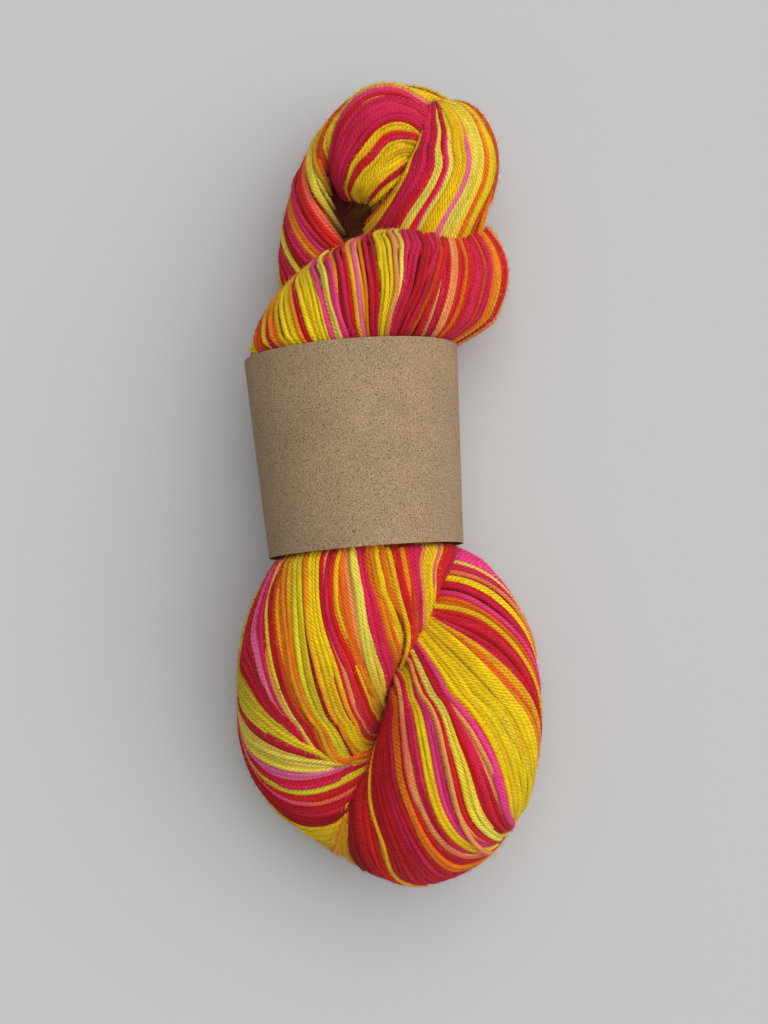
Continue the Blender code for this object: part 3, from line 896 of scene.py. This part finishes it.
def hold_in(points, spare):
    """Turns drawn in where they pass through the band, and a share of the band's length for each."""
    foot, top, along, across, length = band_frame()
    reach = (points - foot) @ along / length
    share = np.clip(reach, 0.0, 1.0)
    past = np.maximum(np.abs(reach - 0.5) - 0.5, 0.0) * length
    middle = foot + (top - foot) * share[..., None]
    opening = BAND_FLARE * np.maximum(past - BAND_LIP, 0.0) - BAND_SPACE
    half_width, half_height = band_oval(share, opening - spare)
    sideways = (points - middle) @ across
    upward = points[..., 2] - middle[..., 2]
    size = np.sqrt((sideways / half_width) ** 2 + (upward / half_height) ** 2)
    slack = 1.0 - HELD_FROM
    drawn = HELD_FROM + slack * (1.0 - np.exp(-(size - HELD_FROM) / slack))
    scale = (np.where(size > HELD_FROM, drawn, size) / np.maximum(size, 1e-6) - 1.0)[..., None]
    return points + scale * (sideways[..., None] * across + upward[..., None] * UP), reach


def rest_on_floor(points, radius):
    """Turns raised softly where they would sink into the floor."""
    low = REST_HEIGHT * radius
    points = points.copy()
    points[..., 2] = low + REST_SOFTNESS * np.logaddexp(0.0, (points[..., 2] - low) / REST_SOFTNESS)
    return points


# ---- dye, and the hollow's painted shade -------------------------------------------------------

CHANCE_STEP = 1.9           # along the winding: one to three such steps share a dye by chance
CHANCE_CELLS = int(600.0 / CHANCE_STEP)
STRAY_DRIFT = (1.4, 26.0)
STRAY_LEVEL = -0.1
STRAY_SHARE = 0.75
BLEND_FROM = 0.36           # of a round, from the front: the next dye comes in from here
BLEND_SPAN = 0.14
DEPTH_DRIFTS = ((0.14, 18.0), (0.09, 5.0))
WARM_DRIFT = (0.10, 28.0)
WARM_TINT = (0.3, 1.2, -1.0)
HOLLOW_PAINTED_SHADE_SHARE = 0.92       # painted shade: at most this share of the hollow's dark colour is blended into the dye


def linear(colour):
    """Light values of a colour given in 0..255."""
    colour = np.asarray(colour, float) / 255.0
    return np.where(colour <= 0.04045, colour / 12.92, ((colour + 0.055) / 1.055) ** 2.4)


DYE_NAMES = list(DYES)
DYE_COLOURS = linear([DYES[name] for name in DYE_NAMES])
DYE_KIN = np.array([DYE_NAMES.index(KIN[name]) for name in DYE_NAMES])


def paint_hollow_shade(colour, sunk):
    """Painted shade: the dye blended towards the hollow's dark colour, the further the yarn has sunk into
    it.
    """
    share = HOLLOW_PAINTED_SHADE_SHARE * ramp(sunk / PIT_CUT)[..., None]
    return colour * (1.0 - share) + share * linear(PIT_PAINTED_SHADE)


def chart_dye(charts, place, chance):
    """The dye charted for each place, and one by chance where none is. A chart lists where each dye
    starts, and at last its end."""
    dye = chance
    for text in charts:
        words = text.split()
        starts = np.array(words[0::2], float)
        dyes = np.array([DYE_NAMES.index(word) for word in words[1::2]])
        k = np.searchsorted(starts, place, side="right") - 1
        inside = (k >= 0) & (k < len(dyes))
        dye = np.where(inside, dyes[np.clip(k, 0, len(dyes) - 1)], dye)
    return dye


def chance_dye(rng, place):
    """Short bands of dye by chance along the places."""
    bands = []
    while len(bands) < CHANCE_CELLS:
        name = ELSEWHERE[rng.integers(len(ELSEWHERE))]
        bands += [DYE_NAMES.index(name)] * int(rng.integers(1, 4))
    return np.array(bands[:CHANCE_CELLS])[(place / CHANCE_STEP).astype(int) % CHANCE_CELLS]


def dye_turns(turns, charts, rng):
    """Each turn takes the dye charted where it crosses the front, strays to a dye near it here and
    there, and changes behind the bundle."""
    seed = int(rng.integers(1 << 30))
    count, rings = turns.place.shape
    places = np.linspace(0.0, rings * TURN_STEP, rings)
    stray = STRAY_SHARE * ramp(uneven(rng, count, places, STRAY_DRIFT) + STRAY_LEVEL)[..., None]
    colours = []
    for crossing in (turns.crossing, turns.after):
        dye = chart_dye(charts, crossing, chance_dye(np.random.default_rng(seed), crossing))
        colours.append(DYE_COLOURS[dye] * (1 - stray) + DYE_COLOURS[DYE_KIN[dye]] * stray)
    blend = 0.5 * ramp((np.abs(turns.gone) / TAU - BLEND_FROM) / BLEND_SPAN)[..., None]
    colour = colours[0] * (1 - blend) + colours[1] * blend
    depth = 1.0 + sum(uneven(rng, count, places, amount) for amount in DEPTH_DRIFTS)
    warm = uneven(rng, count, places, WARM_DRIFT)[..., None]
    return np.clip(colour * depth[..., None] * (1.0 + warm * WARM_TINT), 0.0, 1.0)


# ---- meshes ------------------------------------------------------------------------------------

TUBE_SIDES = 6
TUBE_FLAT = 0.92            # a turn's height for its width
SHORTEST = 4                # rings of the shortest stretch of a turn that is built
PLY_OFFSET = 37.0           # of yarn between the turns, so that their plies don't match
STRIP_ROOM = 1.12           # of a turn's girth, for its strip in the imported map
STRIP_MARGIN = 0.06         # of a row, on each side of a strip
MAP_MARGIN = 0.001

Tube = namedtuple("Tube", "points outward radius dye along")


def split_turns(turns, colour, keep):
    """The stretches of every turn that are kept, as separate tubes."""
    tubes = []
    for i, points in enumerate(turns.points):
        along = lengths_along(points) + PLY_OFFSET * i
        edges = np.flatnonzero(np.diff(np.concatenate(([0], keep[i].astype(int), [0]))))
        for start, end in zip(edges[::2], edges[1::2]):
            if end - start >= SHORTEST:
                part = slice(start, end)
                tubes.append(Tube(points[part], turns.outward[i][part], turns.radius[i][part],
                                  colour[i][part], along[part]))
    return tubes


def joined(tubes, field):
    return np.concatenate([getattr(tube, field) for tube in tubes])


def headings(tubes):
    """The way that the yarn runs at every ring."""
    return unit(np.concatenate([np.gradient(tube.points, axis=0) for tube in tubes]))


def ring_faces(rings, sides):
    """Faces between each of these rings and the one after it."""
    low = sides * np.asarray(rings)[:, None]
    k = np.arange(sides)
    after = (k + 1) % sides
    return np.stack([low + k, low + sides + k, low + sides + after, low + after], -1).reshape(-1, 4)


def add_piece(name, points, faces, material, dye=None):
    """A smooth object of one material, with the dye as a vertex colour."""
    mesh = bpy.data.meshes.new(name)
    mesh.from_pydata(points.reshape(-1, 3) * MM, [], faces)
    mesh.shade_smooth()
    if dye is not None:
        colours = np.ones((len(dye), 4), np.float32)
        colours[:, :3] = dye
        mesh.attributes.new("dye", "FLOAT_COLOR", "POINT").data.foreach_set("color", colours.reshape(-1))
    mesh.materials.append(material)
    item = bpy.data.objects.new(name, mesh)
    bpy.context.collection.objects.link(item)
    return item


def add_maps(item, packed, follow):
    """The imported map, which is the active one, and the map along the yarn."""
    layers = item.data.uv_layers
    for name, values in (("OFBake", packed), ("yarn", follow)):
        layers.new(name=name).uv.foreach_set("vector", values.reshape(-1))
    layers.active = layers["OFBake"]


def face_map(left, right, foot, head):
    """The four corners of the faces round every ring of the tubes in a map."""
    values = np.empty((len(left), TUBE_SIDES, 4, 2), np.float32)
    values[..., 0, 0] = values[..., 3, 0] = left[:, None]
    values[..., 1, 0] = values[..., 2, 0] = right[:, None]
    values[..., 0, 1] = values[..., 1, 1] = foot
    values[..., 2, 1] = values[..., 3, 1] = head
    return values


def packed_map(length, radius):
    """The tubes' faces as strips laid end to end, in rows over a square."""
    girth = STRIP_ROOM * TAU * radius.mean()
    rows = max(1, int(math.sqrt(length.sum() * girth) / girth))
    done = running_sum(length)[:-1]
    row = np.minimum((done / (length.sum() / rows)).astype(int), rows - 1)
    starts = np.array([done[row == r].min() for r in range(rows)])
    span = max(done[row == r].max() + length[row == r].max() - starts[r] for r in range(rows))
    left = (done - starts[row]) / span
    base = (row[:, None] + STRIP_MARGIN) / rows
    height = (1.0 - 2.0 * STRIP_MARGIN) / rows
    k = np.arange(TUBE_SIDES) / TUBE_SIDES
    values = face_map(left, left + length / span, base + height * k, base + height * (k + 1 / TUBE_SIDES))
    return MAP_MARGIN + (1.0 - 2.0 * MAP_MARGIN) * values


def build_tubes(name, tubes, material):
    """One mesh of closed tubes, with a map that follows the yarn and a packed map for baking."""
    points, outward, radius, dye, along = (joined(tubes, field) for field in Tube._fields)
    forward = headings(tubes)
    sidewise = unit(np.cross(forward, outward))
    upward = np.cross(sidewise, forward)
    turn = (TAU * np.arange(TUBE_SIDES) / TUBE_SIDES)[None, :, None]
    rings = points[:, None] + radius[:, None, None] * (
        TUBE_FLAT * np.cos(turn) * upward[:, None] + np.sin(turn) * sidewise[:, None])
    ends = np.cumsum([len(tube.points) for tube in tubes]) - 1
    starts = np.concatenate(([0], ends[:-1] + 1))
    low = np.setdiff1d(np.arange(len(points)), ends)
    lid = np.array([(0, a, a + 1, a + 2) for a in range(1, TUBE_SIDES - 2, 2)])
    lids = [(ring[:, None, None] * TUBE_SIDES + order).reshape(-1, 4)
            for ring, order in ((starts, lid), (ends, lid[:, ::-1]))]
    faces = np.concatenate([ring_faces(low, TUBE_SIDES)] + lids)
    item = add_piece(name, rings, faces, material, np.repeat(dye, TUBE_SIDES, axis=0))
    k = np.arange(TUBE_SIDES)
    follow = face_map(along[low], along[low + 1], k / TUBE_SIDES, (k + 1) / TUBE_SIDES)
    length = np.linalg.norm(points[low + 1] - points[low], axis=1)
    lid_count = 2 * len(tubes) * len(lid)
    maps = []
    for values in (packed_map(length, radius), follow):
        corners = values.reshape(-1, 2)
        maps.append(np.concatenate([corners, np.repeat(corners[:1], 4 * lid_count, axis=0)]))
    add_maps(item, *maps)
    return item


# ---- materials ---------------------------------------------------------------------------------

PLY_LAY = 6.6               # mm of yarn in which a ply goes once round
PLIES = 5                   # ridges round a turn
YARN_BUMP = 0.00022         # metres, as in the other materials
CORE_BUMP = 0.0003
PAPER_BUMP = 0.00012
PAPER_DARK = (74, 54, 36)
PAPER_TONE = (160, 132, 100)
PAPER_LIGHT = (196, 168, 134)
FLOOR_COLOUR = (201, 201, 200)


class Graph:
    """Short words for building a material's nodes."""

    def __init__(self, name):
        self.material = bpy.data.materials.new(name)
        self.material.use_nodes = True
        self.tree = self.material.node_tree
        self.shader = self.tree.nodes["Principled BSDF"]

    def node(self, kind, **settings):
        made = self.tree.nodes.new(kind)
        for key, value in settings.items():
            setattr(made, key, value)
        return made

    def put(self, socket, value):
        if isinstance(value, bpy.types.NodeSocket):
            self.tree.links.new(value, socket)
        else:
            socket.default_value = value

    def feed(self, made, values):
        """A node's first inputs set or linked, and its first output."""
        for socket, value in zip(made.inputs, values):
            self.put(socket, value)
        return made.outputs[0]

    def math(self, operation, *values):
        return self.feed(self.node("ShaderNodeMath", operation=operation), values)

    def times(self, a, b):
        return self.math("MULTIPLY", a, b)

    def vector(self, *values):
        return self.feed(self.node("ShaderNodeCombineXYZ"), values)

    def span(self, value, low, high, to_low, to_high):
        """A value brought from one range to another."""
        return self.feed(self.node("ShaderNodeMapRange"), (value, low, high, to_low, to_high))

    def noise(self, vector, scale, detail, roughness):
        made = self.node("ShaderNodeTexNoise")
        self.put(made.inputs["Vector"], vector)
        self.put(made.inputs["Scale"], scale)
        self.put(made.inputs["Detail"], detail)
        self.put(made.inputs["Roughness"], roughness)
        return made.outputs["Fac"]

    def object_place(self):
        return self.node("ShaderNodeTexCoord").outputs["Object"]

    def dye(self):
        return self.node("ShaderNodeAttribute", attribute_name="dye").outputs["Color"]

    def base_colour(self, colour, light):
        made = self.node("ShaderNodeVectorMath", operation="SCALE")
        self.put(made.inputs[0], colour)
        self.put(made.inputs["Scale"], light)
        self.put(self.shader.inputs["Base Color"], made.outputs[0])

    def relief(self, height, distance, strength=1.0):
        made = self.node("ShaderNodeBump")
        self.put(made.inputs["Strength"], strength)
        self.put(made.inputs["Distance"], distance)
        self.put(made.inputs["Height"], height)
        self.put(self.shader.inputs["Normal"], made.outputs[0])

    def finish(self, **values):
        """The shader's other values, named with _ for a space."""
        for name, value in values.items():
            self.put(self.shader.inputs[name.replace("_", " ")], value)
        return self.material


def yarn_material():
    """Soft wool: plies as slanting ridges, with painted shade in their grooves and a painted highlight on
    their crests, fibres along them, and clumps.
    """
    g = Graph("yarn")
    parts = g.node("ShaderNodeSeparateXYZ")
    g.put(parts.inputs[0], g.node("ShaderNodeUVMap", uv_map="yarn").outputs[0])
    along, round_it = parts.outputs[0], parts.outputs[1]
    # The angle about the yarn, with what its plies have turned by.
    angle = g.math("MULTIPLY_ADD", along, TAU / PLY_LAY, g.times(round_it, TAU))
    ridge = g.math("ABSOLUTE", g.math("SINE", g.times(angle, 0.5 * PLIES)))
    ridge = g.math("POWER", ridge, 0.8)
    cos, sin = g.math("COSINE", angle), g.math("SINE", angle)
    fibres = g.noise(g.vector(g.times(cos, 2.6), g.times(sin, 2.6), g.times(along, 0.22)), 1.9, 3.0, 0.65)
    clumps = g.noise(g.vector(cos, sin, g.times(along, 0.35)), 1.1, 2.0, 0.5)
    # Painted shade in the grooves between plies and a painted highlight on their crests, with random tone
    # from fibres and clumps.
    light = g.times(g.span(ridge, 0.0, 0.9, 0.64, 1.15), g.span(fibres, 0.3, 0.7, 0.80, 1.20))
    light = g.times(light, g.span(clumps, 0.3, 0.7, 0.92, 1.08))
    g.base_colour(g.dye(), light)
    g.relief(g.math("ADD", g.times(ridge, 0.6), g.times(fibres, 0.8)), YARN_BUMP)
    return g.finish(Roughness=0.9, Specular_IOR_Level=0.15, Sheen_Weight=0.08, Sheen_Roughness=0.45)


def core_material():
    g = Graph("yarn_core")
    fibres = g.noise(g.object_place(), 900.0, 3.0, 0.6)
    g.base_colour(g.dye(), g.span(fibres, 0.3, 0.7, 0.8, 1.1))
    g.relief(fibres, CORE_BUMP)
    return g.finish(Roughness=0.9, Specular_IOR_Level=0.15)


def paper_material():
    """Brown paper with dark and light specks, cloudy, with fibres that lie across the hank."""
    g = Graph("kraft_paper")
    place = g.object_place()
    speck = g.noise(place, 2600.0, 3.0, 0.75)
    cloud = g.noise(place, 70.0, 4.0, 0.6)
    stretched = g.node("ShaderNodeMapping")
    g.put(stretched.inputs["Vector"], place)
    g.put(stretched.inputs["Scale"], (1.0, 0.16, 1.0))
    fibre = g.noise(stretched.outputs[0], 3200.0, 2.0, 0.6)
    tones = g.node("ShaderNodeValToRGB")
    g.put(tones.inputs[0], speck)
    stops = tones.color_ramp.elements
    stops[0].position, stops[0].color = 0.34, (*linear(PAPER_DARK), 1.0)
    stops[1].position, stops[1].color = 0.70, (*linear(PAPER_LIGHT), 1.0)
    stops.new(0.46).color = (*linear(PAPER_TONE), 1.0)
    light = g.times(g.span(cloud, 0.3, 0.7, 0.93, 1.06), g.span(fibre, 0.3, 0.7, 0.93, 1.07))
    g.base_colour(tones.outputs[0], light)
    g.relief(g.math("ADD", speck, g.times(fibre, 0.5)), PAPER_BUMP, 0.8)
    return g.finish(Roughness=0.82, Specular_IOR_Level=0.3)


def floor_material():
    return Graph("floor").finish(Base_Color=(*linear(FLOOR_COLOUR), 1.0), Roughness=0.9)


# ---- the yarn ----------------------------------------------------------------------------------

YARN_SEED = 11
WINDING_TURNS = 150
OUTER_SETS = 5              # pieces that the winding's turns are shared out over
LAYERS_KEPT = 1.3           # a turn further down than this is left out
LAYERS_ON_TOP = 0.4         # a turn no further down than this has stray fibres
SHEETS = (
    ("curl_turns", CURL_GUIDES, CURL_CHART),
    ("tuck_turns", TUCK_GUIDES, TUCK_CHART),
    ("side_turns", SIDE_GUIDES, SIDE_CHART),
    ("fold_turns", FOLD_GUIDES, FOLD_CHART),
)
# Where a sheet takes the place of the winding's own turns, by the place where they cross its front.
SIDE_HIDES = 48.6
SIDE_REACH = 80.0
FOLD_HIDES = (358.5, 420.0)
FRONT_SIDE = math.radians(98)
TUCK_START = 529.0          # along the winding: from here on, the tuck's own sheet is its upper side
TUCK_SIDE = math.radians(74)
TUCK_HIDDEN = 535.0         # past here the tuck lies inside the upper bulge and doesn't press on it
HALF_TURN = 0.5 * TURN_WIDTH    # the room that a turn needs inside the band
UNDER_SPARE = 0.9 * TURN_WIDTH  # the same for the turns under those on top


def beside_sheets(winding, turns):
    """True where no sheet takes the turns' place."""
    offset = turns.angle - read(winding.place, winding.front, turns.place)
    from_front = np.abs((offset + math.pi) % TAU - math.pi)
    behind = from_front > FRONT_SIDE
    tuck = (turns.place < TUCK_START) | (from_front > TUCK_SIDE)
    side = (turns.crossing > SIDE_HIDES) | (turns.place > SIDE_REACH) | behind
    fold = (turns.crossing < FOLD_HIDES[0]) | (turns.crossing > FOLD_HIDES[1]) | behind
    return tuck & side & fold


def settle(turns, points, winding, others, spare):
    """Turns laid against the other bundles, through the band and on the floor, and where they can
    show."""
    points, inside = press_apart(points, turns.place, winding, others)
    points, share = hold_in(points, spare)
    shows = (inside < BURIED) & ~((share > BAND_HIDES[0]) & (share < BAND_HIDES[1]))
    return turns._replace(points=rest_on_floor(points, turns.radius)), shows


def on_top(turns, colour, keep):
    """The stretches of the turns that nothing covers."""
    return split_turns(turns, colour, keep & (turns.layers < LAYERS_ON_TOP))


def build_winding(winding, flow, others, pit, rng, material):
    """The winding's own turns, and their stretches on top."""
    turns = lay_turns(winding, WINDING_TURNS, rng, flow)
    colour = dye_turns(turns, WINDING_CHART, rng)
    points, sunk = dip(turns.points, turns.outward, turns.place, pit)
    # painted shade where the turns dip into the hollow
    colour = paint_hollow_shade(colour, sunk)
    turns, keep = settle(turns, points, winding, others, HALF_TURN)
    keep &= (sunk < PIT_CUT) & beside_sheets(winding, turns) & (turns.layers < LAYERS_KEPT)
    of_set = np.arange(WINDING_TURNS)[:, None] * OUTER_SETS // WINDING_TURNS
    pieces = []
    for k in range(OUTER_SETS):
        tubes = split_turns(turns, colour, keep & (of_set == k))
        pieces.append(build_tubes("yarn_turns_%d" % (k + 1), tubes, material))
    return pieces, on_top(turns, colour, keep)


def build_sheet(name, guides, chart, rng, material):
    """A sheet's turns, and their stretches on top."""
    turns = lay_sheet(guides, rng)
    points, _ = hold_in(turns.points, HALF_TURN)
    turns = turns._replace(points=points)
    colour = dye_turns(turns, (chart,), rng)
    keep = turns.layers < LAYERS_KEPT
    return build_tubes(name, split_turns(turns, colour, keep), material), on_top(turns, colour, keep)


def build_under(winding, flow, others, rng, material):
    turns = lay_under(winding, flow)
    colour = dye_turns(turns, WINDING_CHART, rng)
    turns, keep = settle(turns, turns.points, winding, others, UNDER_SPARE)
    return build_tubes("under_turns", split_turns(turns, colour, keep), material)


FUZZ_COUNT = 36000
FUZZ_REACH = (0.6, 2.6)     # how long a stray fibre is
FUZZ_WIDTH = 0.065
FUZZ_LEAN = 1.2             # at most, to either side
FUZZ_SWEEP = 1.6            # at most, along the yarn
FUZZ_BENT = 0.6             # of its length is left, bent as it is
FUZZ_ROOT = 0.8             # of the turn's radius: where it starts
FUZZ_FLOOR = 0.1            # nothing comes lower
FUZZ_LIGHT = 1.1


def spike_maps():
    """A small square of its own for each spike, in both maps."""
    side = math.ceil(math.sqrt(FUZZ_COUNT))
    number = np.arange(FUZZ_COUNT)
    corner = np.stack([number % side, number // side], -1)[:, None, None, :] + 0.2
    shape = np.array(((0.0, 0.0), (0.6, 0.0), (0.3, 0.6)))[None, None]
    return np.broadcast_to((corner + shape) / side, (FUZZ_COUNT, 4, 3, 2)).astype(np.float32)


def build_fuzz(tubes, rng, material):
    """Stray fibres: thin closed spikes that stand off the turns, swept along them."""
    points, outward, radius, dye, _ = (joined(tubes, field) for field in Tube._fields)
    chosen = rng.choice(len(points), FUZZ_COUNT)
    points, outward, forward = points[chosen], outward[chosen], headings(tubes)[chosen]
    radius, dye = radius[chosen][:, None], dye[chosen]
    lean = rng.uniform(-FUZZ_LEAN, FUZZ_LEAN, (FUZZ_COUNT, 1))
    away = unit(outward + lean * np.cross(forward, outward))
    sweep = rng.uniform(-FUZZ_SWEEP, FUZZ_SWEEP, (FUZZ_COUNT, 1))
    reach = FUZZ_BENT * rng.uniform(*FUZZ_REACH, (FUZZ_COUNT, 1))
    root = points + FUZZ_ROOT * radius * away
    tip = points + (radius + reach) * away + sweep * reach * forward
    tip[:, 2] = np.maximum(tip[:, 2], FUZZ_FLOOR)
    along = unit(tip - root)
    first = unit(np.cross(along, forward + 0.3 * outward))
    second = np.cross(along, first)
    corners = [root + FUZZ_WIDTH * (math.cos(a) * first + math.sin(a) * second)
               for a in (0.0, TAU / 3, 2 * TAU / 3)]
    faces = 4 * np.arange(FUZZ_COUNT)[:, None, None] + ((0, 2, 1), (0, 1, 3), (1, 2, 3), (2, 0, 3))
    colour = np.repeat(np.clip(FUZZ_LIGHT * dye, 0.0, 1.0), 4, axis=0)
    item = add_piece("yarn_fuzz", np.stack(corners + [tip], 1), faces.reshape(-1, 3), material, colour)
    add_maps(item, spike_maps(), spike_maps())
    return item


CORE_DEPTH = (1.5, 5.0)     # of the winding's core and of the curl's, under their surfaces
CORE_DEEPEST = 0.55         # of the bundle's radius
CORE_SPARE = 2.2            # inside the band, and above the floor
CORE_SIDES = 96
# painted shade: the core takes this share of the nearest turn's dye, as the gaps between turns lie in shade
CORE_PAINTED_SHADE = 0.5
CURL_CORE_PAINTED_SHADE_DEPTH = 4.5             # painted shade: the curl's core is darkened as much as a bundle sunk this far into the hollow


def core_tube(run, depth, others, pit):
    """A bundle's own surface, pressed and dipped as its turns are, then drawn in by a depth. Gives its
    points, ring by ring, and how far each has sunk, for its painted shade; the curl's core counts as sunk
    throughout."""
    shown = run.place[0:int(np.searchsorted(run.place, TUCK_HIDDEN)):2]
    angle = TAU * np.arange(CORE_SIDES)[:, None] / CORE_SIDES + np.zeros(len(shown))
    place = np.broadcast_to(shown, angle.shape)
    outward, middle, radius = on_bundle(run, place, angle)
    points = middle + radius[..., None] * outward
    # painted shade: the curl's core is darkened throughout, as if sunk into the hollow
    sunk = np.full(place.shape, CURL_CORE_PAINTED_SHADE_DEPTH)
    if others:
        points, sunk = dip(points, outward, place, pit)
        points, _ = press_apart(points, place, run, others)
    points = points - np.minimum(depth, CORE_DEEPEST * radius)[..., None] * outward
    points, _ = hold_in(points.transpose(1, 0, 2).reshape(-1, 3), CORE_SPARE)
    return rest_on_floor(points, np.full(len(points), CORE_SPARE)), sunk.T.reshape(-1)


def nearest_dyes(tubes, points):
    """The dye of the ring of yarn nearest to each point."""
    rings = joined(tubes, "points")
    near = KDTree(len(rings))
    for i, point in enumerate(rings):
        near.insert(point, i)
    near.balance()
    return joined(tubes, "dye")[[near.find(point)[1] for point in points]]


def build_core(winding, loop, others, pit, tubes):
    """What lies under the turns that show: smooth bundles dyed like the turns over them, darkened with
    painted shade under them and in the hollow.
    """
    points, faces, sunk = [], [], []
    count = 0
    for run, depth, pressed in ((winding, CORE_DEPTH[0], others), (loop, CORE_DEPTH[1], ())):
        tube, tube_sunk = core_tube(run, depth, pressed, pit)
        rings = len(tube) // CORE_SIDES
        lid = list(range(count, count + CORE_SIDES))
        faces += (count + ring_faces(range(rings - 1), CORE_SIDES)).tolist()
        faces += [lid, [k + CORE_SIDES * (rings - 1) for k in reversed(lid)]]
        points.append(tube)
        sunk.append(tube_sunk)
        count += len(tube)
    points = np.concatenate(points)
    # painted shade: the core at a share of the dye over it, darker still in the hollow
    dye = paint_hollow_shade(CORE_PAINTED_SHADE * nearest_dyes(tubes, points), np.concatenate(sunk))
    return add_piece("yarn_core", points, faces, core_material(), dye)


def build_yarn():
    """All the pieces of yarn. The order in which they draw from the random numbers matters."""
    rng = np.random.default_rng(YARN_SEED)
    winding, loop, pit = make_run(WINDING), make_run(END_LOOP), make_run(PIT)
    flow = make_flow(winding)
    others = ((winding, TUCK_HIDDEN), (loop, math.inf))
    material = yarn_material()
    pieces, top = build_winding(winding, flow, others, pit, rng, material)
    for name, guides, chart in SHEETS:
        piece, more = build_sheet(name, guides, chart, rng, material)
        pieces.append(piece)
        top += more
    pieces.append(build_fuzz(top, rng, material))
    pieces.append(build_core(winding, loop, others, pit, top))
    pieces.append(build_under(winding, flow, others, rng, material))
    for piece in pieces:
        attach(piece, "root")
        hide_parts("yarn_hank")


# ---- the band ----------------------------------------------------------------------------------

PAPER = 0.35
PAPER_SIDES = 160
PAPER_ROWS = 24
PAPER_CREASE = math.radians(40)


def build_band():
    """A strip of paper closed round the waist: an outer and an inner sheet, joined at their edges."""
    foot, top, _, across, _ = band_frame()
    turn = (TAU * np.arange(PAPER_SIDES) / PAPER_SIDES)[:, None]
    points = np.zeros((2, PAPER_ROWS + 1, PAPER_SIDES, 3))
    for row in range(PAPER_ROWS + 1):
        share = row / PAPER_ROWS
        for layer, grow in ((0, 0.0), (1, -PAPER)):
            half_width, half_height = band_oval(share, grow)
            points[layer, row] = (foot + (top - foot) * share + half_width * np.cos(turn) * across
                                  + half_height * np.sin(turn) * UP)
    inner = (PAPER_ROWS + 1) * PAPER_SIDES
    last = PAPER_ROWS * PAPER_SIDES
    outside = ring_faces(range(PAPER_ROWS), PAPER_SIDES)[:, (0, 3, 2, 1)]
    k = np.arange(PAPER_SIDES)
    j = (k + 1) % PAPER_SIDES
    edges = [(j, k, inner + k, inner + j), (last + k, last + j, inner + last + j, inner + last + k)]
    faces = np.concatenate([np.stack([outside, inner + outside[:, ::-1]], 1).reshape(-1, 4),
                            np.array(edges).transpose(2, 0, 1).reshape(-1, 4)])
    item = add_piece("paper_band", points, faces, paper_material())
    item.data.set_sharp_from_angle(angle=PAPER_CREASE)
    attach(item, "root")
    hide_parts("label_band")


# ---- floor, light, camera ----------------------------------------------------------------------

FLOOR_SIZE = 3000.0         # from its middle to each side
SKY_COLOUR = (0.92, 0.95, 1.0, 1.0)
SKY_TOP = (0.34, 0.14, 0.93)            # where the sky is brightest
SKY_FALLOFF = (0.0, 1.0, 0.06, 0.80)    # from square to it up to it: the sky's strength
SUN_STRENGTH = 1.70
SUN_ANGLE = math.radians(80)
SUN_COLOUR = (1.0, 0.985, 0.96)
SUN_WAY = (-0.42, -0.26, -0.87)


def build_floor():
    corners = FLOOR_SIZE * np.array(((-1, -1, 0), (1, -1, 0), (1, 1, 0), (-1, 1, 0)))
    add_piece("floor", corners, [(0, 1, 2, 3)], floor_material())


def light_sky():
    """A soft sky, brightest towards the upper right."""
    world = bpy.context.scene.world or bpy.data.worlds.new("studio")
    bpy.context.scene.world = world
    world.use_nodes = True
    tree = world.node_tree
    background = tree.nodes["Background"]
    background.inputs["Color"].default_value = SKY_COLOUR
    direction = tree.nodes.new("ShaderNodeTexCoord")
    height = tree.nodes.new("ShaderNodeVectorMath")
    height.operation = "DOT_PRODUCT"
    height.inputs[1].default_value = SKY_TOP
    falloff = tree.nodes.new("ShaderNodeMapRange")
    for socket, value in zip(falloff.inputs[1:], SKY_FALLOFF):
        socket.default_value = value
    tree.links.new(direction.outputs["Generated"], height.inputs[0])
    tree.links.new(height.outputs["Value"], falloff.inputs[0])
    tree.links.new(falloff.outputs[0], background.inputs["Strength"])


def light_sun():
    light = bpy.data.lights.new("key", "SUN")
    light.energy = SUN_STRENGTH
    light.angle = SUN_ANGLE
    light.color = SUN_COLOUR
    item = bpy.data.objects.new("key", light)
    item.rotation_euler = Vector(SUN_WAY).to_track_quat("-Z", "Y").to_euler()
    bpy.context.collection.objects.link(item)


def place_camera():
    camera = bpy.data.cameras.new("camera")
    camera.lens = CAMERA_LENS
    camera.sensor_height = CAMERA_SENSOR
    camera.sensor_width = CAMERA_SENSOR
    camera.sensor_fit = "VERTICAL"
    camera.clip_start = 0.01
    item = bpy.data.objects.new("camera", camera)
    bpy.context.collection.objects.link(item)
    stand = np.eye(4)
    stand[:3, :3] = np.stack(camera_axes(), 1)
    stand[:3, 3] = eye_point() * MM
    item.matrix_world = Matrix(stand.tolist())
    bpy.context.scene.camera = item


bpy.context.scene.view_settings.view_transform = "Standard"
place_camera()
build_yarn()
build_band()
build_floor()
light_sky()
light_sun()
